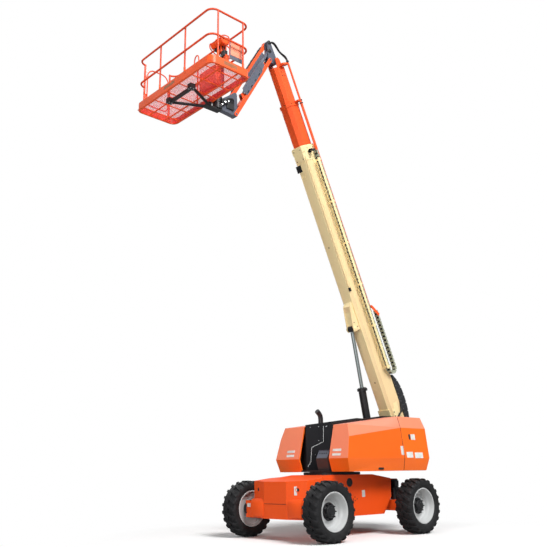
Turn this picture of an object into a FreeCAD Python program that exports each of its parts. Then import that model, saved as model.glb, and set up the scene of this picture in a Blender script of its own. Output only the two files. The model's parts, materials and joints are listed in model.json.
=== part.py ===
import FreeCAD, Part
import math
import os
import re

import Sketcher

# A telescopic boom lift with an articulating jib, in millimetres.
# +X points from the tail to the working platform, +Y is the left side and +Z is up.
# The floor is z = 0, and x = 0 lies half way between the tail and the platform's far rail.

Vector = FreeCAD.Vector
doc = FreeCAD.newDocument("boom_lift")

SIZES = (
    # chassis and wheels
    ("slew_axis_x", -774.6),
    ("wheel_base", 2480),
    ("wheel_track", 2135),
    ("tyre_diameter", 1015),
    ("tyre_width", 355),
    ("bead_diameter", 630),
    ("rim_wall", 12),
    ("wheel_disc_wall", 20),
    ("hub_radius", 130),
    ("stud_circle", 245),
    ("frame_half_width", 540),
    ("frame_bottom", 360),
    ("frame_front_top", 1000),
    ("deck_top", 1100),
    ("frame_front", 1500),
    ("frame_rear", 1110),
    ("tail_rear", 1560),
    ("tail_half_width", 350),
    ("tail_bottom", 735),
    ("drive_beam_width", 260),
    ("drive_beam_height", 300),
    ("steer_beam_width", 180),
    ("steer_beam_height", 200),
    ("kingpin_y", 780),
    ("kingpin_radius", 30),
    ("knuckle_arm", 190),
    # slewing ring and turntable
    ("ring_radius", 540),
    ("ring_bore", 430),
    ("ring_height", 50),
    ("base_plate_wall", 35),
    ("table_front", 560),
    ("table_rear", 2230),
    ("pivot_back", 2100),
    ("pivot_height", 2000),
    ("boom_pin_radius", 50),
    ("tower_plate", 30),
    ("lift_pivot_back", 1309),
    ("lift_pivot_height", 1315),
    ("lift_pin_radius", 35),
    ("weight_top", 1750),
    ("weight_rear", 2400),
    # hoods
    ("hood_half_width", 960),
    ("hood_bottom", 1157),
    ("knee_height", 1395),
    ("hood_front", 585),
    ("hood_seam", 1075),
    ("hood_rear", 1880),
    ("shoulder_front", 1768),
    ("shoulder_seam", 1977),
    ("shoulder_rise", 222),
    ("shoulder_draw", 70),
    ("side_lean", 0.112),
    ("front_draw", 155),
    ("rear_draw", 55),
    ("bottom_draw", 75),
    ("side_bottom_draw", 40),
    ("hood_wall", 30),
    ("left_wall_gap", 255),
    ("right_wall_gap", 70),
    ("inner_wall", 20),
    ("wall_stand", 35),
    ("wall_front", 425),
    ("hinge_pin_radius", 8),
    ("barrel_wall", 6),
    ("hinge_out", 16),
    ("barrel_run", 60),
    ("valve_box_back", 200),
    ("valve_box_front", 550),
    ("valve_box_low_y", 120),
    ("valve_box_high_y", 410),
    ("valve_box_top", 1540),
    ("exhaust_back", 420),
    ("exhaust_y", 660),
    ("exhaust_radius", 34),
    ("exhaust_rise", 250),
    ("exhaust_bend", 90),
    # boom
    ("luff_angle", 65.5),
    ("base_half_width", 175),
    ("base_half_height", 208),
    ("base_wall", 8),
    ("base_bevel", 55),
    ("top_bevel", 45),
    ("push_tube_z", 146),
    ("mid_tube_radius", 28),
    ("fly_tube_radius", 22),
    ("base_tail", 150),
    ("base_tip", 6440),
    ("top_pad", 15.5),
    ("mid_half_width", 152),
    ("mid_half_height", 180),
    ("mid_wall", 7),
    ("mid_bevel", 70),
    ("mid_length", 6200),
    ("mid_out", 930),
    ("fly_half_width", 130),
    ("fly_half_height", 154),
    ("fly_wall", 6),
    ("fly_bevel", 62),
    ("fly_length", 6200),
    ("fly_out", 815),
    # energy chain
    ("chain_z", 68),
    ("chain_width", 96),
    ("chain_link", 45),
    ("loop_height", 250),
    ("loop_along", 1330),
    ("outer_run", 1290),
    ("chain_end", 6280),
    ("cover_start", 120),
    ("cover_end", 1180),
    ("cover_rise", 215),
    ("cover_width", 120),
    # lift cylinder
    ("eye_along", 2430),
    ("eye_drop", 360),
    ("bracket_half", 94),
    ("gland_length", 70),
    ("barrel_radius", 74),
    ("rod_radius", 38),
    ("barrel_length", 1550),
    # jib
    ("knuckle_out", 145),
    ("knuckle_drop", 20),
    ("arm_length", 1840),
    ("jib_drop_angle", 59.8),
    ("arm_pin_run", 157),
    ("arm_pin_drop", 32),
    ("link_height", 420),
    ("link_lean", 88),
    ("arm_pin_radius", 22),
    ("jib_eye_rise", 220),
    ("jib_eye_along", 1300),
    ("jib_eye_height", 95),
    ("lane_half", 30),
    ("web_half", 56),
    ("ear_wall", 18),
    ("arm_half_width", 60),
    ("arm_half_height", 42),
    ("jib_barrel_radius", 38),
    ("jib_rod_radius", 18),
    # platform
    ("rotator_out", 425),
    ("rotator_radius", 90),
    ("rotator_height", 260),
    ("shaft_radius", 35),
    ("platform_gap", 159),
    ("platform_depth", 910),
    ("platform_width", 2400),
    ("platform_rise", 42),
    ("top_rail", 1085),
    ("mid_rail", 584),
    ("rail_radius", 19),
    ("rail_bend", 150),
    ("post_y", 400),
    ("skirt_height", 150),
    ("floor_wall", 30),
    ("gate_width", 560),
    ("console_y", 470),
    ("console_width", 300),
    # clearances
    ("pin_clearance", 0.5),
    ("seat_gap", 0.3),
    ("side_gap", 5),
)

# Places that follow from the sizes above.
DERIVED = {
    "axle_x": "wheel_base / 2",
    "wheel_y": "wheel_track / 2",
    "wheel_z": "tyre_diameter / 2",
    "ring_top": "deck_top + ring_height",
    "plate_bottom": "ring_top + side_gap",
    "plate_top": "plate_bottom + base_plate_wall",
    "tower_y": "base_half_width + 20",
    "left_wall_y": "base_half_width + left_wall_gap",
    "right_wall_y": "base_half_width + right_wall_gap",
    "chain_y": "base_half_width + 17",
    "push_tube_y": "chain_y + 43",
    "top_front": "shoulder_front + shoulder_rise",
    "top_seam": "shoulder_seam + shoulder_rise",
    "top_slope": "(shoulder_seam - shoulder_front) / (hood_front + hood_seam)",
    "hinge_z": "top_front + hood_front * top_slope - hood_wall / 2",
    "hinge_edge": "inner_wall + hinge_out + hinge_pin_radius + barrel_wall + side_gap",
    "eye_x": "eye_along * cos(luff_angle) + eye_drop * sin(luff_angle) - pivot_back",
    "eye_z": "pivot_height + eye_along * sin(luff_angle) - eye_drop * cos(luff_angle)",
    "lift_run": "eye_x + lift_pivot_back",
    "lift_rise": "eye_z - lift_pivot_height",
    "lift_length": "sqrt(lift_run ^ 2 + lift_rise ^ 2)",
    "lift_angle": "atan2(lift_rise; lift_run)",
    "mid_tip": "base_tip + mid_out",
    "fly_tip": "mid_tip + fly_out",
    "knuckle_along": "fly_tip + knuckle_out",
    "knuckle_x": "knuckle_along * cos(luff_angle) + knuckle_drop * sin(luff_angle) - pivot_back",
    "knuckle_z": "pivot_height + knuckle_along * sin(luff_angle) - knuckle_drop * cos(luff_angle)",
    "arm_x": "knuckle_x + arm_pin_run",
    "arm_z": "knuckle_z - arm_pin_drop",
    "link_run": "link_height * cos(link_lean)",
    "link_rise": "link_height * sin(link_lean)",
    "end_x": "arm_x + arm_length * cos(jib_drop_angle)",
    "end_z": "arm_z - arm_length * sin(jib_drop_angle)",
    "jib_base_x": "arm_x + jib_eye_rise * cos(link_lean)",
    "jib_base_z": "arm_z + jib_eye_rise * sin(link_lean)",
    "jib_run": "arm_x + jib_eye_along * cos(jib_drop_angle)"
    " + jib_eye_height * sin(jib_drop_angle) - jib_base_x",
    "jib_rise": "arm_z - jib_eye_along * sin(jib_drop_angle)"
    " + jib_eye_height * cos(jib_drop_angle) - jib_base_z",
    "jib_length": "sqrt(jib_run ^ 2 + jib_rise ^ 2)",
    "rotator_x": "end_x + rotator_out",
    "platform_back": "rotator_x + platform_gap",
    "platform_front": "platform_back + platform_depth",
    "platform_half": "platform_width / 2",
    "floor_z": "end_z + platform_rise",
    "gate_y": "rail_radius - platform_half",
    "gate_low": "(platform_depth - gate_width) / 2",
    "gate_high": "(platform_depth + gate_width) / 2",
    "gate_pin_x": "gate_high - 16",
}

sheet = doc.addObject("Spreadsheet::Sheet", "Sizes")
for row, (alias, size) in enumerate(SIZES, 1):
    sheet.set(f"A{row}", alias)
    sheet.set(f"B{row}", str(size))
    sheet.setAlias(f"B{row}", alias)
doc.recompute()
ALIASES = {alias for alias, size in SIZES}


def spelled(formula):
    """Write a formula of size and place names out as an expression of sheet cells."""

    def word(match):
        name = match.group(0)
        if name in DERIVED:
            return "(" + spelled(DERIVED[name]) + ")"
        return "Sizes." + name if name in ALIASES else name

    return re.sub(r"[A-Za-z_][A-Za-z_0-9]*", word, str(formula))


def number(formula):
    """The present value of a formula, for shapes that Part's own functions make."""
    found = sheet.evalExpression(spelled(formula))
    return float(getattr(found, "Value", found))


def bind(item, **formulas):
    for name, formula in formulas.items():
        item.setExpression(name, spelled(formula))


def move(item, x=0, y=0, z=0):
    for axis, formula in (("x", x), ("y", y), ("z", z)):
        item.setExpression("Placement.Base." + axis, spelled(formula))
    return item


TURNS = {
    "x": FreeCAD.Rotation(Vector(0, 1, 0), 90),
    "y": FreeCAD.Rotation(Vector(1, 0, 0), -90),
    "z": FreeCAD.Rotation(),
}


def block(x, y, z, length, width, height):
    """A box from its lowest corner."""
    item = doc.addObject("Part::Box", "block")
    bind(item, Length=length, Width=width, Height=height)
    return move(item, x, y, z)


def slab(x, z, length, height, half_width):
    """A box that is centred on y = 0."""
    return block(x, f"0 - ({half_width})", z, length, f"2 * ({half_width})", height)


def drum(x, y, z, radius, length, axis="z"):
    """A cylinder that starts at a point and runs along an axis."""
    item = doc.addObject("Part::Cylinder", "drum")
    item.Placement = FreeCAD.Placement(Vector(), TURNS[axis])
    bind(item, Radius=radius, Height=length)
    return move(item, x, y, z)


def cross_pin(x, z, radius, half_width):
    """A cylinder along Y that is centred on y = 0."""
    return drum(x, f"0 - ({half_width})", z, radius, f"2 * ({half_width})", "y")


def join(*items):
    result = doc.addObject("Part::MultiFuse", "join")
    result.Shapes = list(items)
    return result


def group(*items):
    result = doc.addObject("Part::Compound", "group")
    result.Links = list(items)
    return result


def cut(base, *tools):
    result = doc.addObject("Part::Cut", "cut")
    result.Base = base
    result.Tool = tools[0] if len(tools) == 1 else join(*tools)
    return result


def common(first, second):
    result = doc.addObject("Part::Common", "common")
    result.Base = first
    result.Tool = second
    return result


def mirrored(item):
    """The same piece on the other side of the plane y = 0."""
    result = doc.addObject("Part::Mirroring", "mirrored")
    result.Source = item
    result.Normal = Vector(0, 1, 0)
    return result


def outline_sketch(body, plane, points):
    """A closed outline, each of whose corners is held to the sheet."""
    sketch = body.newObject("Sketcher::SketchObject", "outline")
    support = [item for item in body.Origin.OriginFeatures if item.Role == plane]
    sketch.AttachmentSupport = [(support[0], "")]
    sketch.MapMode = "FlatFace"
    places = [(number(a), number(b)) for a, b in points]
    total = len(points)
    sketch.addGeometry(
        [
            Part.LineSegment(Vector(*places[i], 0), Vector(*places[(i + 1) % total], 0))
            for i in range(total)
        ],
        False,
    )
    for i in range(total):
        sketch.addConstraint(Sketcher.Constraint("Coincident", i, 2, (i + 1) % total, 1))
    for i, corner in enumerate(points):
        for kind, value, formula in zip(("DistanceX", "DistanceY"), places[i], corner):
            index = sketch.addConstraint(Sketcher.Constraint(kind, -1, 1, i, 1, value))
            sketch.setExpression(f"Constraints[{index}]", spelled(formula))
    return sketch


def plate(plane, points, thickness, offset=0):
    """An outline on XZ, XY or YZ, thickened about its plane and then moved off it."""
    body = doc.addObject("PartDesign::Body", "plate")
    sketch = outline_sketch(body, plane + "_Plane", points)
    pad = body.newObject("PartDesign::Pad", "pad")
    pad.Profile = sketch
    pad.Midplane = True
    bind(pad, Length=thickness)
    axis = {"XZ": "y", "XY": "z", "YZ": "x"}[plane]
    return move(body, **{axis: offset})


def turned(points):
    """An outline of (radius, place along the axis), revolved about Z."""
    body = doc.addObject("PartDesign::Body", "turned")
    sketch = outline_sketch(body, "XZ_Plane", points)
    spin = body.newObject("PartDesign::Revolution", "spin")
    spin.Profile = sketch
    spin.ReferenceAxis = (sketch, ["V_Axis"])
    spin.Angle = 360
    return body


def lofted(first, first_place, last, last_place):
    """A ruled solid between two outlines that stand across X."""
    body = doc.addObject("PartDesign::Body", "lofted")
    sketches = []
    for points, place in ((first, first_place), (last, last_place)):
        sketch = outline_sketch(body, "YZ_Plane", points)
        sketch.setExpression("AttachmentOffset.Base.z", spelled(place))
        sketches.append(sketch)
    loft = body.newObject("PartDesign::AdditiveLoft", "loft")
    loft.Profile = sketches[0]
    loft.Sections = sketches[1:]
    loft.Ruled = True
    return body


def bent_tube(points, radius, bend, closed=False):
    """A round bar along straight runs that are joined by arcs."""
    places = [Vector(*(number(value) for value in point)) for point in points]
    size, turn = number(radius), number(bend)
    edges = []
    if closed:
        places = [(places[0] + places[1]) / 2] + places[1:] + [places[0]]
        places.append(places[0])
    start = places[0]
    for before, corner, after in zip(places, places[1:], places[2:]):
        back = (before - corner).normalize()
        ahead = (after - corner).normalize()
        half = back.getAngle(ahead) / 2
        reach = turn / math.tan(half)
        middle = (back + ahead).normalize() * (turn / math.sin(half) - turn)
        first, last = corner + back * reach, corner + ahead * reach
        edges.append(Part.LineSegment(start, first).toShape())
        edges.append(Part.Arc(first, corner + middle, last).toShape())
        start = last
    edges.append(Part.LineSegment(start, places[-1]).toShape())
    path = Part.Wire(edges)
    heading = edges[0].tangentAt(edges[0].FirstParameter)
    ring = Part.Wire(Part.Circle(edges[0].Vertexes[0].Point, heading, size).toShape())
    item = doc.addObject("Part::Feature", "bent_tube")
    item.Shape = path.makePipeShell([ring], True, True)
    return item


# Each frame is where a group of pieces is drawn from: x, z and its slope above level.
FRAMES = {
    "machine": ("slew_axis_x", "0", "0"),
    "boom": ("slew_axis_x - pivot_back", "pivot_height", "luff_angle"),
    "lift": ("slew_axis_x - lift_pivot_back", "lift_pivot_height", "lift_angle"),
    "knuckle": ("slew_axis_x + knuckle_x", "knuckle_z", "0"),
    "arm": ("slew_axis_x + arm_x", "arm_z", "0 - jib_drop_angle"),
    "upper_arm": (
        "slew_axis_x + arm_x + link_run",
        "arm_z + link_rise",
        "0 - jib_drop_angle",
    ),
    "jib_cylinder": ("slew_axis_x + jib_base_x", "jib_base_z", "atan2(jib_rise; jib_run)"),
    "jib_end": ("slew_axis_x + end_x", "end_z", "0"),
    "platform": ("slew_axis_x + platform_back", "floor_z", "0"),
}

nodes = {}


def node(name, item, frame="machine"):
    """Name a finished piece and set it in its frame."""
    x, z, slope = FRAMES[frame]
    item = group(item)
    item.Label = name
    place = f"placement(vector({x}; 0; {z}); rotation(vector(0; 1; 0); (-1) * ({slope})))"
    item.setExpression("Placement", spelled(place))
    nodes[name] = item


def both_sides(name, make, frame="machine"):
    """A left and a right piece that mirror each other."""
    node(name + "_left", make(), frame)
    node(name + "_right", mirrored(make()), frame)


# --- chassis -----------------------------------------------------------------------------

def chassis_frame():
    side = plate(
        "XZ",
        [
            ("0 - frame_rear + 240", "frame_bottom"),
            ("frame_front", "frame_bottom"),
            ("frame_front", "frame_front_top"),
            ("ring_radius + 20", "deck_top"),
            ("0 - ring_radius - 20", "deck_top"),
            ("0 - frame_rear", "deck_top - 80"),
            ("0 - frame_rear", "frame_bottom + 320"),
        ],
        "4 * frame_half_width",
    )
    plan_left = [
        ("frame_front", "290"),
        ("frame_front - 120", "frame_half_width + 160"),
        ("1000", "frame_half_width + 160"),
        ("850", "frame_half_width"),
        ("0 - frame_rear", "frame_half_width"),
    ]
    plan_right = [(x, f"0 - ({y})") for x, y in reversed(plan_left)]
    plan = plate("XY", plan_left + plan_right, "4 * deck_top")
    tail = slab(
        "0 - tail_rear",
        "tail_bottom",
        "tail_rear - frame_rear + 5",
        "deck_top - 95 - tail_bottom",
        "tail_half_width",
    )
    holes = [
        drum("120", start, "deck_top - 130", "50", "40", "y")
        for start in ("frame_half_width - 30", "0 - frame_half_width - 10")
    ]
    return cut(join(common(side, plan), tail), *holes)


def drive_axle():
    beam = slab(
        "axle_x - drive_beam_width / 2",
        "wheel_z - drive_beam_height / 2",
        "drive_beam_width",
        "drive_beam_height",
        "wheel_y - 110",
    )
    hubs = cross_pin("axle_x", "wheel_z", "hub_radius", "wheel_y - wheel_disc_wall - pin_clearance")
    inner = slab(
        "axle_x - drive_beam_width / 2 - 1",
        "wheel_z - drive_beam_height",
        "drive_beam_width + 2",
        "2 * drive_beam_height",
        "frame_half_width + 160",
    )
    return cut(join(beam, hubs), inner)


def fork(side_height):
    """A fork end of the steering axle, on the left."""
    eye = drum(
        "0 - axle_x", "kingpin_y", f"wheel_z + {side_height}", "60", "40"
    )
    arm = block(
        "0 - axle_x - 60", "kingpin_y - 130", f"wheel_z + {side_height}", "120", "130", "40"
    )
    return join(eye, arm)


def steer_axle():
    beam = slab(
        "0 - axle_x - steer_beam_width / 2",
        "wheel_z - steer_beam_height / 2",
        "steer_beam_width",
        "steer_beam_height",
        "kingpin_y - 105",
    )
    pivot = slab(
        "0 - axle_x - 130",
        "wheel_z + steer_beam_height / 2",
        "260",
        "tail_bottom - wheel_z - steer_beam_height / 2",
        "90"
    )
    ends = join(fork("90"), fork("-130"))
    pins = join(
        drum("0 - axle_x", "kingpin_y", "wheel_z - 135", "kingpin_radius", "270"),
        drum("0 - axle_x", "0 - kingpin_y", "wheel_z - 135", "kingpin_radius", "270"),
    )
    return join(beam, pivot, ends, mirrored(ends), pins)


def steer_knuckle():
    """The left knuckle: a barrel on its kingpin, a spindle flange and a steering arm."""
    barrel = drum("0 - axle_x", "kingpin_y", "wheel_z - 88", "58", "176")
    spindle = drum(
        "0 - axle_x",
        "kingpin_y",
        "wheel_z",
        "75",
        "wheel_y - wheel_disc_wall - pin_clearance - kingpin_y",
        "y"
    )
    flange = drum(
        "0 - axle_x", "wheel_y - wheel_disc_wall - 30 - pin_clearance", "wheel_z", "hub_radius", "30", "y"
    )
    arm = block("0 - axle_x - knuckle_arm", "kingpin_y - 35", "wheel_z - 20", "knuckle_arm", "60", "40")
    bore = drum("0 - axle_x", "kingpin_y", "wheel_z - 200", "kingpin_radius + pin_clearance", "400")
    return cut(join(barrel, spindle, flange, arm), bore)


def tyre():
    r, w = "tyre_diameter / 2", "tyre_width / 2"
    seat = "bead_diameter / 2"
    outer = [
        (seat, f"0.80 * {w}"),
        (f"{seat} + 17", f"0.80 * {w}"),
        (f"{seat} + 34", f"0.86 * {w}"),
        (f"{seat} + 80", f"{w}"),
        (f"{r} - 60", f"{w}"),
        (f"{r} - 14", f"0.90 * {w}"),
        (f"{r} - 2", f"0.76 * {w}"),
        (r, f"0.40 * {w}"),
    ]
    return turned(outer + [(a, f"0 - {b}") for a, b in reversed(outer)])


def wheel():
    """A rim with a deep dished disc and a hub cap, its outer side toward +Z."""
    seat = "bead_diameter / 2 - 0.3"
    edge = "0.84 * tyre_width / 2"
    bead = "0.80 * tyre_width / 2"
    outline = [
        ("0", "0 - wheel_disc_wall"),
        ("hub_radius + 20", "0 - wheel_disc_wall"),
        ("hub_radius + 60", "0 - 45"),
        (f"{seat} - rim_wall", "0 - 45"),
        (f"{seat} - rim_wall", f"0 - {edge}"),
        (f"{seat} + 14", f"0 - {edge}"),
        (f"{seat} + 14", f"0 - {bead} - 2"),
        (seat, f"0 - {bead} - 2"),
        (seat, f"{bead} + 2"),
        (f"{seat} + 14", f"{bead} + 2"),
        (f"{seat} + 14", edge),
        (f"{seat} - rim_wall", edge),
        (f"{seat} - rim_wall", "0 - 25"),
        ("hub_radius + 60", "0 - 25"),
        ("hub_radius + 20", "0"),
        ("100", "0"),
        ("100", "60"),
        ("60", "85"),
        ("0", "85"),
    ]
    return turned(outline)


def on_wheel(make, end, side):
    """A turned piece set on its axle, with its outer side away from the machine."""
    turn = -90 if side > 0 else 90
    holder = group(make())
    holder.Placement = FreeCAD.Placement(Vector(), FreeCAD.Rotation(Vector(1, 0, 0), turn))
    return move(holder, f"{end} * axle_x", f"{side} * wheel_y", "wheel_z")


# --- turntable ---------------------------------------------------------------------------

def slew_ring():
    outer = drum(0, 0, "deck_top", "ring_radius", "ring_height")
    return cut(outer, drum(0, 0, "deck_top", "ring_bore", "ring_height"))


def tower(side):
    """One of the two upright plates that carry the boom's pivot."""
    return plate(
        "XZ",
        [
            ("0 - table_rear", "plate_top - 1"),
            ("0 - 900", "plate_top - 1"),
            ("0 - 1000", "plate_top + 120"),
            ("0 - 1700", "pivot_height - 330"),
            ("0 - pivot_back + 130", "pivot_height + 60"),
            ("0 - pivot_back + 60", "pivot_height + 130"),
            ("0 - pivot_back - 60", "pivot_height + 130"),
            ("0 - table_rear", "pivot_height + 20"),
        ],
        "tower_plate",
        f"{side} * (tower_y + tower_plate / 2)",
    )


def turntable_frame():
    base = plate(
        "XY",
        [
            ("0 - table_rear", "0 - right_wall_y - inner_wall"),
            ("0 - hood_seam + 45", "0 - right_wall_y - inner_wall"),
            ("0 - hood_seam + 45", "0 - hood_half_width + hood_wall + side_bottom_draw + 15"),
            (
                "hood_front - bottom_draw - hood_wall - 20",
                "0 - hood_half_width + hood_wall + side_bottom_draw + 15",
            ),
            ("hood_front - bottom_draw - hood_wall - 20", "0 - right_wall_y - inner_wall"),
            ("table_front", "0 - right_wall_y - inner_wall"),
            ("table_front", "left_wall_y + inner_wall"),
            ("0 - table_rear", "left_wall_y + inner_wall"),
        ],
        "base_plate_wall",
        "plate_bottom + base_plate_wall / 2",
    )
    spigot = drum(0, 0, "deck_top + 10", "ring_bore - pin_clearance", "ring_height + 10")
    lugs = [
        plate(
            "XZ",
            [
                ("0 - lift_pivot_back - 160", "plate_top - 1"),
                ("0 - lift_pivot_back + 160", "plate_top - 1"),
                ("0 - lift_pivot_back + 75", "lift_pivot_height + 60"),
                ("0 - lift_pivot_back - 75", "lift_pivot_height + 60"),
            ],
            "30",
            f"{side} * (barrel_radius + 25)",
        )
        for side in (1, -1)
    ]
    pins = [
        cross_pin("0 - lift_pivot_back", "lift_pivot_height", "lift_pin_radius", "barrel_radius + 50"),
        cross_pin("0 - pivot_back", "pivot_height", "boom_pin_radius", "tower_y + tower_plate + 12"),
    ]
    return join(base, spigot, tower(1), tower(-1), *lugs, *pins)


def counterweight():
    half = "hood_half_width - side_bottom_draw - 110"
    plan = plate(
        "XY",
        [
            ("0 - hood_rear - 20", f"0 - ({half})"),
            ("0 - hood_rear - 20", half),
            ("0 - hood_rear - 60", half),
            ("0 - weight_rear", "430"),
            ("0 - weight_rear", "0 - 430"),
            ("0 - hood_rear - 60", f"0 - ({half})"),
        ],
        "weight_top - plate_bottom",
        "(weight_top + plate_bottom) / 2",
    )
    slot = block(
        "0 - table_rear - seat_gap",
        "0 - left_wall_y - inner_wall - 5",
        "plate_bottom - 10",
        "table_rear - hood_rear + 100",
        "2 * (left_wall_y + inner_wall + 5)",
        "3 * base_plate_wall",
    )
    gap = block(
        "0 - table_rear - seat_gap",
        "0 - tower_y - tower_plate - 14",
        "plate_bottom",
        "table_rear - hood_rear + 100",
        "2 * (tower_y + tower_plate + 14)",
        "weight_top",
    )
    return cut(plan, slot, gap)


def on_hinge_line(item):
    """Set pieces along a hood's hinge, which falls toward the front."""
    holder = group(item)
    place = "placement(vector(0; 0; hinge_z); rotation(vector(0; 1; 0); atan(top_slope)))"
    holder.setExpression("Placement", spelled(place))
    return holder


def hinge_row(y, starts, reach_y, low, high):
    """Barrels along the hinge line, each with a leaf that runs to reach_y."""
    parts = []
    for start in starts:
        parts.append(drum(start, y, 0, "hinge_pin_radius + barrel_wall", "barrel_run", "x"))
        parts.append(block(start, f"min({y}; {reach_y})", low, "barrel_run", f"abs({reach_y} - ({y}))", high))
    return parts


FIXED_HINGES = ("0 - hood_seam + 90", "0 - 330", "wall_front - 240")
HOOD_HINGES = [f"{start} + barrel_run + 2 * seat_gap" for start in FIXED_HINGES]


def inner_wall(y):
    """The fixed wall between a hood and the boom's slot, with its hinge pin."""
    top = "wall_stand + top_seam"
    wall = plate(
        "XZ",
        [
            ("0 - hood_rear + 60", "plate_top"),
            ("wall_front", "plate_top"),
            ("wall_front", "top_front + wall_stand + (hood_front - wall_front) * top_slope"),
            ("0 - hood_seam", top),
            ("0 - hood_rear + 60", top),
        ],
        "inner_wall",
        f"{y} + inner_wall / 2",
    )
    middle = f"{y} + inner_wall + hinge_out"
    pin = drum(
        FIXED_HINGES[0],
        middle,
        0,
        "hinge_pin_radius",
        f"{HOOD_HINGES[-1]} - ({FIXED_HINGES[0]}) + barrel_run",
        "x",
    )
    leaves = hinge_row(middle, FIXED_HINGES, f"{y} + inner_wall - 1", "0 - 14", "28")
    return join(wall, on_hinge_line(group(join(pin, *leaves))))


def hood_section(y_inner, shoulder, drawn_in, below):
    """A hood's section in Y and Z, drawn in by its wall and open below."""
    out = f"hood_half_width - ({drawn_in})"
    bottom = f"hood_bottom - ({below})"
    draw = f"side_bottom_draw * (1 + ({below}) / (knee_height - hood_bottom))"
    top_out = f"{out} - side_lean * ({shoulder} - knee_height) - shoulder_draw"
    top = f"{shoulder} + shoulder_rise - ({drawn_in})"
    return [
        (y_inner, bottom),
        (f"{out} - {draw}", bottom),
        (out, "knee_height"),
        (f"{out} - side_lean * ({shoulder} - knee_height)", shoulder),
        (top_out, top),
        (y_inner, top),
    ]


def end_profile(front, rear, drawn_in):
    """The outline in X and Z that gives a hood its leaning ends."""
    high = "2 * shoulder_rise + shoulder_seam"
    low = "2 * hood_bottom - knee_height"
    front_top = f"front_draw * ({high} - knee_height) / (top_front - knee_height)"
    outline = [(rear, low), (rear, high)]
    if rear == "rear_end":
        outline = [
            (f"0 - hood_rear + {drawn_in} + 2 * bottom_draw", low),
            (f"0 - hood_rear + {drawn_in}", "knee_height"),
            (f"0 - hood_rear + {drawn_in}", "shoulder_seam"),
            (f"0 - hood_rear + {drawn_in} + 2 * rear_draw", high),
        ]
    if front != "front_end":
        return outline + [(front, high), (front, low)]
    return outline + [
        (f"hood_front - {drawn_in} - {front_top}", high),
        (f"hood_front - {drawn_in}", "knee_height"),
        (f"hood_front - {drawn_in} - 2 * bottom_draw", low),
    ]


def hood_body(y_inner, front, rear, shoulders, drawn_in, below):
    """One solid between two sections, with its ends trimmed to their profile."""
    sections = [hood_section(y_inner, shoulder, drawn_in, below) for shoulder in shoulders]
    places = ("hood_front", "0 - hood_seam")
    if rear == "rear_end":
        places = ("0 - hood_seam", "0 - hood_rear")
    solid = lofted(sections[0], places[0], sections[1], places[1])
    trim = plate("XZ", end_profile(front, rear, drawn_in), "4 * hood_half_width")
    return common(solid, trim)


def hood_shell(y_wall, front, rear, shoulders, y_gap):
    """A hollow hood, open below and toward the boom."""
    y_inner = f"{y_wall} + {y_gap}"
    outer = hood_body(y_inner, front, rear, shoulders, "0", "0")
    front_in = front if front == "front_end" else f"{front} - hood_wall"
    rear_in = rear if rear == "rear_end" else f"{rear} + hood_wall"
    core = hood_body(f"{y_inner} - 10", front_in, rear_in, shoulders, "hood_wall", "10")
    return cut(outer, core)


def hood(y_wall):
    """An engine hood or tank hood for the left side, with its hinge barrels."""
    shell = hood_shell(
        y_wall,
        "front_end",
        "0 - hood_seam + side_gap",
        ("shoulder_front", "shoulder_seam"),
        "hinge_edge",
    )
    middle = f"{y_wall} + inner_wall + hinge_out"
    leaves = hinge_row(middle, HOOD_HINGES, f"{y_wall} + hinge_edge + hood_wall", "0 - 10", "20")
    bore = drum(
        "0 - hood_seam", middle, 0, "hinge_pin_radius + pin_clearance", "hood_seam + hood_front", "x"
    )
    return cut(join(shell, on_hinge_line(group(join(*leaves)))), on_hinge_line(group(bore)))


def exhaust_hole():
    return drum(
        "0 - exhaust_back", "0 - exhaust_y", "top_front - hood_wall", "exhaust_radius + seat_gap", "400"
    )


def exhaust_pipe():
    """The bent stack on the engine's hood."""
    base = "top_front + (hood_front + exhaust_back) * top_slope"
    y = "0 - exhaust_y"
    start = f"{base} - 2 * hood_wall"
    bend_z = f"{base} + exhaust_rise / 2"
    stack = bent_tube(
        [
            ("0 - exhaust_back", y, start),
            ("0 - exhaust_back", y, bend_z),
            ("0 - exhaust_back + exhaust_rise / 3", y, f"{base} + exhaust_rise"),
        ],
        "exhaust_radius",
        "exhaust_bend",
    )
    return stack


def valve_box():
    """The low cover between the hoods, which leans back above its knee."""
    return plate(
        "XZ",
        [
            ("valve_box_back", "plate_top"),
            ("valve_box_front - 50", "plate_top"),
            ("valve_box_front", "knee_height"),
            ("valve_box_front - 90", "valve_box_top"),
            ("valve_box_back", "valve_box_top"),
        ],
        "valve_box_high_y - valve_box_low_y",
        "(valve_box_high_y + valve_box_low_y) / 2",
    )


def rear_cover(y_wall):
    return hood_shell(
        y_wall,
        "0 - hood_seam",
        "rear_end",
        ("shoulder_seam", "shoulder_seam"),
        "inner_wall + seat_gap",
    )


# --- boom --------------------------------------------------------------------------------

def tube_section(y, z, top, bottom):
    """A box outline in Y and Z with small bevels above and large ones below."""
    right = [
        (f"{y} - {bottom}", f"0 - ({z})"),
        (y, f"{bottom} - ({z})"),
        (y, f"{z} - {top}"),
        (f"{y} - {top}", z),
    ]
    return right + [(f"0 - ({across})", up) for across, up in reversed(right)]


def box_tube(start, end, half_width, half_height, wall, bevel):
    """A hollow box section along X."""
    length = f"{end} - ({start})"
    middle = f"({end} + ({start})) / 2"
    outer = tube_section(half_width, half_height, "top_bevel", bevel)
    inner = tube_section(
        f"{half_width} - {wall}", f"{half_height} - {wall}", "top_bevel", bevel
    )
    return cut(
        plate("YZ", outer, length, middle), plate("YZ", inner, f"{length} + 10", middle)
    )


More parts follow.
